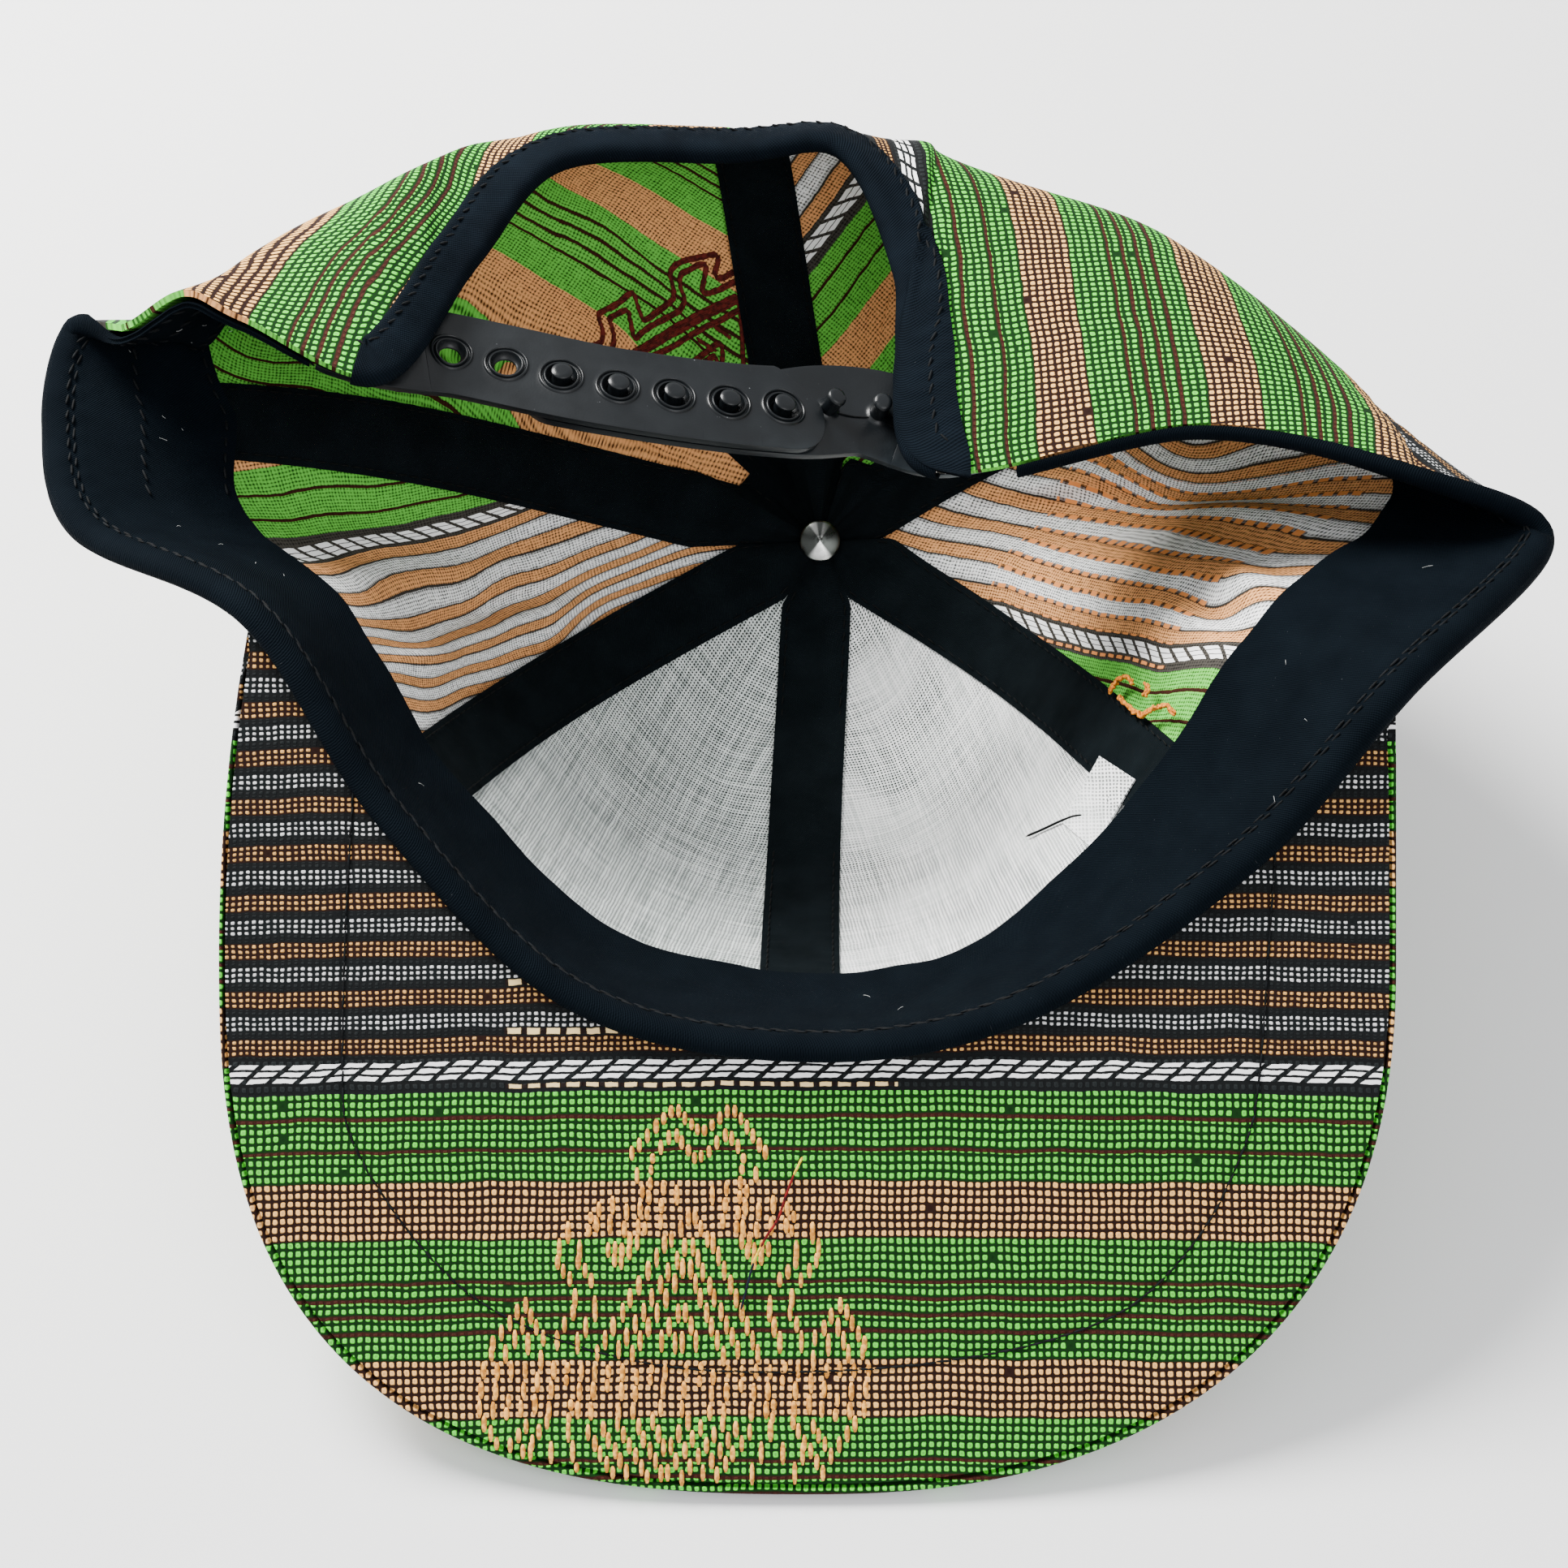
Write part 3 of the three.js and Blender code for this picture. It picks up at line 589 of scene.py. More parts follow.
def cloth_group(name, yarns, reverse):
    """Striped hand-woven cloth: Colour, Height and Rough over the two cloth coordinates."""
    tree, given = new_group(
        name,
        [("Across", "NodeSocketFloat", 0.0), ("Along", "NodeSocketFloat", 0.0),
         ("Wander", "NodeSocketFloat", 0.3)],
        [("Colour", "NodeSocketColor"), ("Height", "NodeSocketFloat"), ("Rough", "NodeSocketFloat")])
    place = cloth_place(tree, given["Across"], given["Along"])
    slow = node(tree, "ShaderNodeTexNoise", outputs=1, Vector=place, Scale=0.08, Detail=2.0)
    fast = node(tree, "ShaderNodeTexNoise", outputs=1, Vector=place, Scale=0.6, Detail=1.0)
    slow_x, slow_y = node(tree, "ShaderNodeSeparateXYZ", outputs=(0, 1), Vector=slow)
    fast_x, fast_y = node(tree, "ShaderNodeSeparateXYZ", outputs=(0, 1), Vector=fast)
    t = given["Across"] + (slow_x - 0.5) * given["Wander"] * 4.0 + (fast_x - 0.5) * given["Wander"]
    v = given["Along"] + (slow_y - 0.5) * given["Wander"] * 4.0 + (fast_y - 0.5) * given["Wander"]

    border = t.math("MAXIMUM", 0.0)
    field = (t - BORDER_LENGTH).math("WRAP", FIELD_PERIOD, 0.0)
    stripes = t.math("WRAP", STRIPE_PERIOD, 0.0)
    stripe_bands = REVERSE_STRIPE_BANDS if reverse else STRIPE_BANDS
    programmes = [
        band_colours(tree, stripes, STRIPE_PERIOD, stripe_bands, yarns),
        band_colours(tree, border, BORDER_LENGTH, BORDER_BANDS, yarns),
        band_colours(tree, field, FIELD_PERIOD, FIELD_BANDS, yarns),
    ]
    in_border = t.math("GREATER_THAN", 0.0)
    off_border = in_border.inverse()
    in_field = t.math("GREATER_THAN", BORDER_LENGTH)
    cell, gap = (in_field.mix(in_border.mix(programmes[0][k], programmes[1][k]), programmes[2][k])
                 for k in (0, 1))

    in_tan = stripes.math("GREATER_THAN", (WHITE_ROWS["first"] + TAN_ROWS["first"]) * 0.75)
    white_row = (stripes - WHITE_ROWS["first"]) / WHITE_ROWS["pitch"]
    tan_row = (stripes - TAN_ROWS["first"]) / TAN_ROWS["pitch"]
    stripe_row = white_row + in_tan * (tan_row - white_row)
    border_row = row_phase(border - CHAIN_WIDTH, GREEN_TWO_LINES[1], GREEN_TWO_LINES[2], ROW_PITCH)
    field_row = row_phase(field, GREEN_FOUR_LINES[1], GREEN_FOUR_LINES[2], ROW_PITCH)
    row = stripe_row + in_border * (border_row - stripe_row)
    row = row + in_field * (field_row - row)
    column = v / (in_border * (COLUMN_PITCH - STRIPE_COLUMN) + STRIPE_COLUMN)
    stamp = node(tree, "ShaderNodeCombineXYZ", X=row.math("FLOOR"), Y=column.math("FLOOR"),
                 Z=(t / 6.0).math("FLOOR"))
    chance = node(tree, "ShaderNodeTexWhiteNoise", Vector=stamp)
    from_x = row.ridge()
    from_y = column.ridge()
    fibre = noise(tree, place, 2.6, 3.0)
    if reverse:
        # Plain weave seen from the back: fine threads both ways, with dark breaks along them.
        long_x = cloth_place(tree, t * 0.45, v * 2.2)
        long_y = cloth_place(tree, t * 2.2, v * 0.45)
        runs_x = noise(tree, long_x, 1.0, 2.0)
        runs_y = noise(tree, long_y, 1.0, 2.0)
        fine_x = (t / REVERSE_THREADS["across"]).ridge()
        fine_y = (v / REVERSE_THREADS["along"]).ridge()
        dots = fine_x.ramp(0.2, 1.0) * fine_y.ramp(0.2, 1.0)
        along_x = fine_y.ramp(0.15, 1.0) * runs_x.ramp(0.3, 0.7)
        along_y = fine_x.ramp(0.15, 1.0) * runs_y.ramp(0.3, 0.7)
        edge = from_x.math("POWER", 8.0).math("MAXIMUM", from_y.math("POWER", 8.0))
        broken = edge * (chance - 0.45).math("ADD", 0.0, clamp=True) * off_border * 0.5
        dark = (along_x + along_y) * 0.55 + dots * 0.6 + broken
        raised = dark.inverse().math("ADD", 0.0, clamp=True)
        tone = fibre * 0.6 + 0.8
    else:
        body = from_x.math("POWER", 3.4) + from_y.math("POWER", 3.4)
        gone = chance.math("GREATER_THAN", 0.997) * 0.5
        tight = off_border * 0.13
        raised = (body + tight + gone + (chance - 0.5) * 0.14 + (fibre - 0.5) * 0.28).ramp(0.36, 0.04)
        dent = body.ramp(0.04, 0.0) * 0.28
        tone = chance * 0.35 + fibre * 0.7 + 0.58 - dent
    shade = raised.mix(gap, cell)
    shade = node(tree, "ShaderNodeVectorMath", settings={"operation": "SCALE"},
                 Vector=shade, Scale=tone)

    if reverse:
        # Each white stripe is shaded softly along both its edges.
        off = (stripes - REVERSE_SHADE["middle"]).math("ABSOLUTE")
        soft = off.ramp(*REVERSE_SHADE["inner"]) * off.ramp(*REVERSE_SHADE["outer"])
        shade = (soft * off_border * 0.5).mix(shade, linear(REVERSE_SHADE["colour"]))

    # Chain border: rows of slanted white dashes, each row shifted from the last.
    chain = (t - CHAIN["first"]) / CHAIN["row"]
    inside = chain.math("GREATER_THAN", 0.0) * chain.math("LESS_THAN", float(CHAIN["rows"]))
    lean = chain.math("FRACT") - 0.5
    along = (v + chain.math("FLOOR") * CHAIN["shift"] + lean * CHAIN["slant"]) / CHAIN["pitch"]
    along = along.ridge()
    dash = along.ramp(CHAIN["share"] + 0.03, CHAIN["share"] - 0.03)
    thin = (0.46, 0.38) if reverse else (0.36, 0.29)
    dash = dash * lean.math("ABSOLUTE").ramp(*thin) * inside
    shade = dash.mix(shade, linear(yarns["white"][0]))
    height = dash.math("MAXIMUM", raised)

    # Floats: short tan dashes beside the stripes, and one row of them under the chain.
    zone = v.math("GREATER_THAN", FLOAT_ZONE["start"]) * v.math("LESS_THAN", FLOAT_ZONE["end"])
    beside = stripes.within(*FLOAT_LINES[0])
    for line in FLOAT_LINES[1:] if reverse else ():
        beside = beside.math("MAXIMUM", stripes.within(*line))
    beside = beside * off_border * t.math("GREATER_THAN", FLOAT_ZONE["reach"])
    under = t.within(*CHAIN_FLOATS)
    dashes = (v / FLOAT_ZONE["pitch"]).ridge()
    dashes = dashes.ramp(FLOAT_ZONE["share"] + 0.05, FLOAT_ZONE["share"] - 0.05)
    floats = beside.math("MAXIMUM", under) * zone
    shade = (floats * dashes.inverse() * 0.7).mix(shade, linear(yarns["tan"][1]))
    floats = floats * dashes
    shade = floats.mix(shade, linear(FLOAT_COLOURS["reverse" if reverse else "face"]))
    height = height.math("MAXIMUM", floats)
    rough = raised * -0.1 + 0.93
    return close_group(tree, Colour=shade, Height=height, Rough=rough)


def cloth_material(name, group, bump):
    material, tree, shader = new_material(name, 0.9, 0.15)
    across, along = weave_map(tree)
    made = use_group(tree, group, Across=across, Along=along)
    dress(tree, shader, made["Colour"], made["Height"], bump, made["Rough"])
    return material


def twill_group():
    """Fine diagonal twill with lint: Colour and Height over the two cloth coordinates."""
    tree, given = new_group(
        "twill_weave",
        [("Across", "NodeSocketFloat", 0.0), ("Along", "NodeSocketFloat", 0.0),
         ("Dark", "NodeSocketColor", (0.01, 0.012, 0.014, 1)),
         ("Light", "NodeSocketColor", (0.03, 0.034, 0.04, 1)), ("Rib", "NodeSocketFloat", 0.42)],
        [("Colour", "NodeSocketColor"), ("Height", "NodeSocketFloat")])
    place = cloth_place(tree, given["Across"], given["Along"])
    uneven = noise(tree, place, 0.8, 4.0)
    diagonal = (given["Across"] * 0.62 + given["Along"] + uneven * 0.3) / given["Rib"]
    rib = diagonal.ridge()
    cross = ((given["Across"] - given["Along"] * 0.5) / (given["Rib"] * 0.8)).math("FRACT")
    height = rib.ramp(0.1, 0.9) * 0.7 + (cross - 0.5).math("ABSOLUTE") * 0.6
    cloudy = noise(tree, place, 0.12, 5.0)
    tone = (height * 0.5 + cloudy * 0.9 - 0.35).math("ADD", 0.0, clamp=True)
    lint = noise(tree, place, 3.2, 1.0).ramp(0.79, 0.83)
    shade = (lint * 0.6).mix(tone.mix(given["Dark"], given["Light"]), (0.1, 0.11, 0.12, 1))
    return close_group(tree, Colour=shade, Height=height + lint * 0.5)


def twill_material(name, group, dark, light, rib):
    material, tree, shader = new_material(name, 0.85, 0.03)
    across, along = weave_map(tree)
    made = use_group(tree, group, Across=across, Along=along,
                     Dark=linear(dark), Light=linear(light), Rib=rib)
    dress(tree, shader, made["Colour"], made["Height"], 0.12)
    return material


def buckram_material(name, light, dark, least):
    """Open-mesh stiffener: white yarns with small dark holes between them, and a few specks."""
    material, tree, shader = new_material(name, 0.8, 0.2)
    across, along = weave_map(tree)
    place = cloth_place(tree, across, along)
    uneven = noise(tree, place, 0.35, 3.0) * 0.6
    slub_x = noise(tree, cloth_place(tree, across * 1.3, along * 0.06), 1.0, 2.0)
    slub_y = noise(tree, cloth_place(tree, across * 0.06, along * 1.3), 1.0, 2.0)
    x = (across + uneven) / MESH_PITCH
    y = (along + uneven) / MESH_PITCH
    open_x = (slub_x - 0.5) * 0.7
    open_y = (slub_y - 0.5) * 0.7
    from_x = x.ridge()
    from_y = y.ridge()
    hole = (from_x + open_x).ramp(0.7, 0.36) * (from_y + open_y).ramp(0.7, 0.36)
    wide = noise(tree, place, 0.035, 2.0)
    closed = wide.ramp(0.36, 0.56) * (1 - least) + least
    yarn = (slub_x + slub_y) * 0.5
    bright = yarn.ramp(0.2, 0.7).mix(linear(dark), linear(light))
    shade = (hole * closed).mix(bright, linear("#262c2a"))
    specks = noise(tree, place, 1.5, 2.0)
    patch = noise(tree, place, 0.05, 1.0)
    dirt = specks.ramp(0.70, 0.74) * patch.ramp(0.45, 0.6)
    dress(tree, shader, dirt.mix(shade, linear("#3b403e")), hole * -1.0 + yarn * 0.5, 0.15)
    return material


def plastic_material():
    material, tree, shader = new_material("strap_plastic", 0.3, 0.3)
    place = own_place(tree)
    grain = noise(tree, place, 2600.0, 3.0)
    smear_and_sheen = noise(tree, place, 160.0, 4.0)
    dust = noise(tree, place, 1500.0, 1.0).ramp(0.80, 0.84)
    side, back = node(tree, "ShaderNodeSeparateXYZ", outputs=(0, 1), Vector=place)
    # Painted highlight: the base colour goes from near black to light grey across the strap, lighter towards
    # +x and towards -y of the part frame, standing in for the light that the glossy plastic reflects; a
    # noise varies both the tone and this painted sheen.
    toward = (side - (back - 0.020) * 2.6 + smear_and_sheen * 0.02).ramp(-0.045, 0.035)
    base = toward.mix(smear_and_sheen.mix(linear("#07090b"), linear("#101417")),
                      smear_and_sheen.mix(linear("#2c353b"), linear("#64727a")))
    dress(tree, shader, (dust * 0.5).mix(base, linear("#8b8f92")), grain * 0.6 + smear_and_sheen * 0.4, 0.03,
          smear_and_sheen * 0.2 + 0.22)
    return material


def steel_material():
    """Spun steel, with painted highlights: bright wedges in its colour that fan out from the middle."""
    material, tree, shader = new_material("rivet_steel", 0.28, metallic=1.0)
    x, y = weave_map(tree)
    x = x - RIVET_UV
    angle = x.math("ARCTAN2", y * -1.0).math("ABSOLUTE")
    # Painted highlight: a broad bright wedge below the middle and a faint one above it, painted into the
    # base colour; a noise varies this painted glint as well as the roughness and bumps.
    below = angle.ramp(0.75, 0.35)
    above = angle.within(2.75, 0.3, 0.1) * 0.3
    place = own_place(tree)
    wear_and_glint = noise(tree, place, 900.0, 4.0)
    bright = below.math("MAXIMUM", above) * (wear_and_glint * 0.5 + 0.7)
    dress(tree, shader, bright.mix(linear("#4b4e4b"), linear("#f4f4f0")), wear_and_glint, 0.02, wear_and_glint * 0.2 + 0.2)
    return material


def thread_material(name, light, dark):
    """Twisted thread in one colour with fibres along it."""
    material, tree, shader = new_material(name, 0.75, 0.12)
    place = own_place(tree)
    fibres = noise(tree, place, 1200.0, 3.0)
    dress(tree, shader, fibres.ramp(0.35, 0.65).mix(linear(dark), linear(light)), fibres, 0.04)
    return material


# The middle of the rivet across its cloth coordinates, and the spacing of the stiffener's holes.
RIVET_UV = 40.0
MESH_PITCH = 0.64
# The light and the dark colour of each thread.
THREADS = {
    "black_thread": ("#0e1114", "#050607"), "dark_thread": ("#0a0c0d", "#030404"),
    "gold_thread": ("#ffb858", "#b9782c"), "red_thread": ("#66221c", "#3a110e"),
    "white_thread": ("#c9cbc9", "#8d908e"), "yellow_thread": ("#f2d233", "#b58a1c"),
    "crimson_thread": ("#8a1c1c", "#3d0c10"), "navy_thread": ("#1a2030", "#0a0d16"),
    "orange_thread": ("#e8912f", "#a85a18"),
}
FINISH = {}


def make_finishes():
    """All materials, once, by a short name."""
    face = cloth_group("cloth_face_weave", FACE_YARNS, False)
    back = cloth_group("cloth_reverse_weave", REVERSE_YARNS, True)
    twill = twill_group()
    FINISH.update(
        cloth=cloth_material("cloth_face", face, 0.22),
        reverse=cloth_material("cloth_reverse", back, 0.12),
        twill=twill_material("band_twill", twill, "#03070c", "#0c1319", 0.42),
        tape=twill_material("seam_tape", twill, "#05090b", "#161d21", 0.34),
        binding=twill_material("binding_tape", twill, "#04070b", "#121a22", 0.5),
        buckram=buckram_material("buckram_mesh", "#ffffff", "#cfd6d4", 0.3),
        # The left panel's buckram: more open, with more of its dark holes showing, and with darker yarn
        # colours that are painted shade.
        open_buckram=buckram_material("open_buckram_mesh", "#eef4f2", "#9aa5a2", 1.0),
        plastic=plastic_material(),
        steel=steel_material(),
    )
    FINISH.update({name: thread_material(name, *colours) for name, colours in THREADS.items()})


# Pieces.

GRID_MM = 1.1
SEAM_DIP = 0.75
SEAM_HALF = 1.6
PUCKER = {"height": 0.16, "pitch": 5.2, "fade": 5.0}
HUB_COVER = 12.0

# Panels: name, first and last row, the stripes' turn on the laid-out panel in degrees, and the cloth
# coordinates of its middle edge point (across the stripes, and along them).
PANELS = (
    ("rear_left_panel", "rear_centre", "left_rear_seam", -167.4, 50.0, 300),
    ("side_left_panel", "left_rear_seam", "front_left_seam", -178.9, -13.8, 500),
    ("front_left_panel", "front_left_seam", "front_centre", 168.0, 44.0, 600),
    ("front_right_panel", "front_centre", "front_right_seam", 12.0, 52.0, 700),
    ("side_right_panel", "front_right_seam", "right_rear_seam", 167.0, -29.0, 110),
    ("rear_right_panel", "right_rear_seam", COUNT, 162.8, 0.9, 900),
)
# Views that measurements were read in: left and top of the view in the picture, and its scale.
VIEWS = {
    "whole": (0, 0, 1), "right": (1110, 540, 4.9), "far_right": (1400, 540, 4.612),
    "left": (430, 600, 4.9), "hub_left": (690, 600, 5.807), "arch": (700, 280, 5.6),
    "rear": (245, 151, 4.148), "rear_right": (1132, 453, 2.76), "corner": (1240, 830, 6.817),
}
# Where the stripes are seen: view, side of the cloth, place across the stripes, points along them.
PINS = {
    "side_right_panel": (
        ("right", "in", -5.55, (130, 740), (400, 790), (600, 850), (800, 930), (1100, 1000), (1300, 1050)),
        ("far_right", "in", -5.55, (0, 1010), (200, 1050), (400, 1085), (600, 1050), (740, 1015)),
        ("right", "in", -13.3, (130, 570), (350, 590), (600, 640), (800, 700), (1000, 750), (1300, 815)),
        ("far_right", "in", -13.3, (0, 790), (150, 825), (300, 850), (520, 900), (620, 910), (720, 870),
         (850, 850), (970, 870)),
        ("right", "in", -21.05, (420, 410), (600, 450), (800, 500), (950, 530), (1200, 600)),
        ("far_right", "in", -21.05, (0, 610), (200, 640), (400, 680), (600, 710), (800, 730), (950, 715),
         (1090, 690)),
        ("right", "in", -28.8, (720, 285), (850, 310), (1000, 335), (1200, 370), (1400, 420)),
        ("far_right", "in", -28.8, (150, 430), (350, 460), (550, 490), (750, 510), (900, 520),
         (1050, 550), (1200, 560)),
        ("far_right", "in", -32.7, (350, 410), (550, 430), (750, 440), (1000, 440), (1300, 465)),
        ("far_right", "in", -36.55, (1000, 370), (1200, 370), (1350, 385), (1480, 390)),
        ("far_right", "in", -40.4, (550, 350), (750, 330), (1000, 310), (1200, 290), (1400, 285)),
        ("far_right", "in", -44.3, (150, 260), (330, 290), (430, 315), (550, 310), (700, 275),
         (900, 240), (1100, 215), (1300, 190)),
        ("far_right", "in", -52.05, (250, 180), (400, 160), (550, 120), (700, 80), (850, 45)),
        ("right", "in", 0.9, (720, 1000), (860, 1095), (1100, 1160), (1300, 1200), (1500, 1235)),
        ("far_right", "in", 0.9, (100, 1165), (250, 1195), (350, 1200), (480, 1170)),
        ("right", "in", 4.6, (980, 1230), (1200, 1290), (1400, 1330)),
        ("far_right", "in", 4.6, (50, 1280), (200, 1300), (400, 1240)),
    ),
    "side_left_panel": (
        ("left", "in", 5.9, (0, 290), (150, 250), (400, 195), (600, 155), (760, 115)),
        ("left", "in", 2.5, (50, 340), (250, 310), (500, 260), (700, 210), (900, 155)),
        ("left", "in", -1.7, (50, 465), (250, 410), (500, 375), (700, 310), (900, 230), (1150, 160)),
        ("left", "in", -5.55, (120, 540), (300, 510), (500, 460), (700, 400), (900, 320), (1100, 240)),
        ("left", "in", -9.4, (200, 640), (400, 590), (600, 550), (800, 480), (1000, 380), (1290, 255)),
        ("left", "in", -13.3, (170, 780), (300, 720), (500, 670), (700, 620), (850, 545), (1000, 465),
         (1290, 345)),
        ("left", "in", -17.2, (60, 880), (300, 850), (500, 800), (700, 740), (850, 660), (1000, 580),
         (1290, 465)),
        ("left", "in", -21.05, (300, 930), (450, 905), (600, 870), (750, 800), (950, 665), (1100, 620),
         (1290, 555)),
        ("left", "in", -24.9, (420, 990), (520, 1030), (760, 855), (900, 790), (1100, 710), (1290, 645)),
        ("left", "in", -28.8, (130, 985), (280, 1035), (400, 1085), (650, 970), (800, 920), (1000, 850),
         (1290, 710)),
        ("left", "in", -36.55, (850, 990), (1000, 930), (1150, 875), (1290, 815)),
        ("left", "in", -40.4, (200, 1110), (320, 1150), (450, 1130), (700, 1065), (1000, 1000), (1290, 935)),
        ("left", "in", -44.3, (320, 1235), (600, 1185), (900, 1100), (1250, 1030)),
        ("left", "in", -48.2, (380, 1335), (600, 1290), (850, 1240), (1020, 1185)),
        ("left", "in", -52.05, (460, 1420), (650, 1380), (880, 1300)),
        ("hub_left", "in", -13.3, (100, 400), (300, 310), (500, 240)),
        ("hub_left", "in", -17.2, (100, 530), (300, 450), (500, 370), (700, 285)),
        ("hub_left", "in", -21.05, (100, 640), (300, 560), (500, 460), (700, 380), (900, 280)),
        ("hub_left", "in", -24.9, (100, 740), (300, 640), (600, 480), (900, 350), (1050, 310)),
        ("hub_left", "in", -40.4, (100, 840), (300, 760), (500, 700), (700, 650), (900, 560)),
        ("hub_left", "in", -44.3, (100, 940), (300, 870), (500, 800), (650, 740)),
        ("whole", "in", 20.3, (300, 583)), ("whole", "in", 15.4, (279, 624), (360, 612), (443, 604)),
        ("whole", "in", 9.98, (285, 637), (414, 624)),
    ),
    "rear_left_panel": (
        ("rear", "out", 29.6, (300, 950), (380, 800), (500, 640), (680, 500)),
        ("rear", "out", 36.5, (460, 1060), (560, 880), (700, 690), (850, 530), (1010, 380)),
        ("rear", "out", 44.6, (700, 1150), (830, 900), (1000, 660), (1170, 470), (1300, 290)),
        ("rear", "out", 48.9, (1150, 680), (1260, 520), (1370, 400), (1420, 250)),
        ("rear", "in", 20.3, (260, 1110), (400, 1130), (520, 1150)),
        ("rear", "in", 15.4, (260, 1215), (500, 1215), (640, 1250), (760, 1290), (860, 1370)),
        ("rear", "in", 9.98, (260, 1340), (480, 1340), (620, 1345)),
        ("arch", "in", 36.5, (20, 200), (200, 310), (380, 420)),
        ("arch", "in", 44.6, (240, 10), (450, 170), (690, 300)),
        ("arch", "in", 48.9, (500, 10), (640, 120), (760, 220)),
        ("arch", "in", 29.6, (0, 440), (100, 500), (200, 560)),
        ("whole", "in", 19.0, (600, 512)), ("whole", "in", 24.0, (680, 538), (745, 556)),
        ("whole", "in", 24.0, (860, 577), (925, 592)),
        ("whole", "in", 58.4, (711, 186), (890, 283)), ("whole", "in", 48.9, (676, 226), (840, 319)),
        ("whole", "in", 29.6, (600, 302), (736, 383)), ("whole", "in", 20.3, (571, 354), (711, 422)),
    ),
    "rear_right_panel": (
        ("whole", "out", 5.9, (1140, 200)), ("whole", "out", 20.3, (1235, 225), (1275, 545)),
        ("whole", "out", 29.6, (1305, 255), (1350, 535)), ("whole", "out", 48.9, (1450, 330), (1490, 520)),
        ("whole", "out", 58.4, (1520, 365), (1565, 527)), ("whole", "out", 77.7, (1690, 510), (1700, 555)),
        ("rear_right", "out", 9.98, (182, 30), (203, 280)),
        ("rear_right", "out", 15.4, (285, 20), (310, 270)),
        ("rear_right", "out", 36.5, (715, 20), (735, 190)),
        ("rear_right", "out", 44.6, (890, 10), (905, 165)),
        ("whole", "in", 2.5, (997, 304), (1061, 226)), ("whole", "in", 20.3, (1028, 422), (1101, 322)),
        ("whole", "in", 29.6, (1065, 461), (1115, 397)),
    ),
}
# How far each round of pinning carries from a place, in millimetres, and how soft its hold is.
PIN_ROUNDS = ((34.0, 0.25), (9.0, 0.3))
LAYOUT_SPOTS = 34
CAMERA = {"x": -3.77, "height": 520.0, "middle": 966.0, "scale": 4004.0}


def on_picture(points):
    """Where the camera sees points of the cap frame, in the picture's units."""
    near = CAMERA["scale"] / (CAMERA["height"] - points[..., 2])
    return np.stack([CAMERA["middle"] + near * (points[..., 0] - CAMERA["x"]),
                     CAMERA["middle"] - near * points[..., 1]], -1)


def read_off(view, points):
    left, top, scale = VIEWS[view]
    return np.asarray(points, float) / scale + (left, top)


def nearest_seen(shell, spots, side):
    """Grid places of the shell that the camera sees at the spots, on the inside or the outside."""
    seen = on_picture(shell)
    normal = np.cross(np.gradient(shell, axis=1), np.gradient(shell, axis=0))
    eye = np.array([CAMERA["x"], 0, CAMERA["height"]])
    facing = (normal * (eye - shell)).sum(-1) * (1 if side == "out" else -1) > 0
    found = []
    for spot in spots:
        away = np.where(facing, np.hypot(*(seen - spot).transpose(2, 0, 1)), 1e9)
        found.append(np.unravel_index(away.argmin(), away.shape))
    return found


def seen_on_wall(view, points, first, last, depth=0.0, side="in", spacing=1.1):
    """Rows u and lengths s at a depth in the wall at points that were read off a view."""
    start, end = float(row_of(first)), float(row_of(last))
    us = even_columns(start, end, spacing)
    length = length_of(us) - HUB_RADIUS
    share = np.linspace(0, 1, int(length.max() / spacing) + 1)
    s = share[None, :] * length[:, None]
    shell = in_wall(us, s, np.full(s.shape, depth))
    seen = on_picture(shell)
    step_u, step_s = np.gradient(seen, axis=0), np.gradient(seen, axis=1)
    spots = read_off(view, points)
    out = []
    for spot, k in zip(spots, nearest_seen(shell, spots, side)):
        square = np.stack([step_u[k], step_s[k]], 1)
        i, j = np.clip(np.linalg.solve(square, spot - seen[k]), -1.5, 1.5) + k
        u = float(np.interp(i, np.arange(len(us)), us))
        room = float(np.interp(i, np.arange(len(us)), length))
        out.append((u, float(np.interp(j, np.arange(len(share)), share)) * room))
    return np.array(out)


def pinned(uv, shell, pins):
    """Moves the stripes across so that they pass through the places where they are seen."""
    places, misses = [], []
    for view, side, stripe, *points in pins:
        for k in nearest_seen(shell, read_off(view, points), side):
            places.append(uv[k])
            misses.append(stripe - uv[k][0])
    places, misses = np.array(places), np.array(misses)
    moved = uv.copy()
    for reach, soft in PIN_ROUNDS:
        near = np.exp(-((places[:, None] - places[None]) ** 2).sum(-1) / (2 * reach**2))
        parts = np.linalg.solve(near + soft * np.eye(len(places)), misses)
        misses = misses - near @ parts
        for line, base in zip(moved, uv):
            gap = ((base[:, None] - places[None]) ** 2).sum(-1)
            line[:, 0] += np.exp(-gap / (2 * reach**2)) @ parts
    return moved


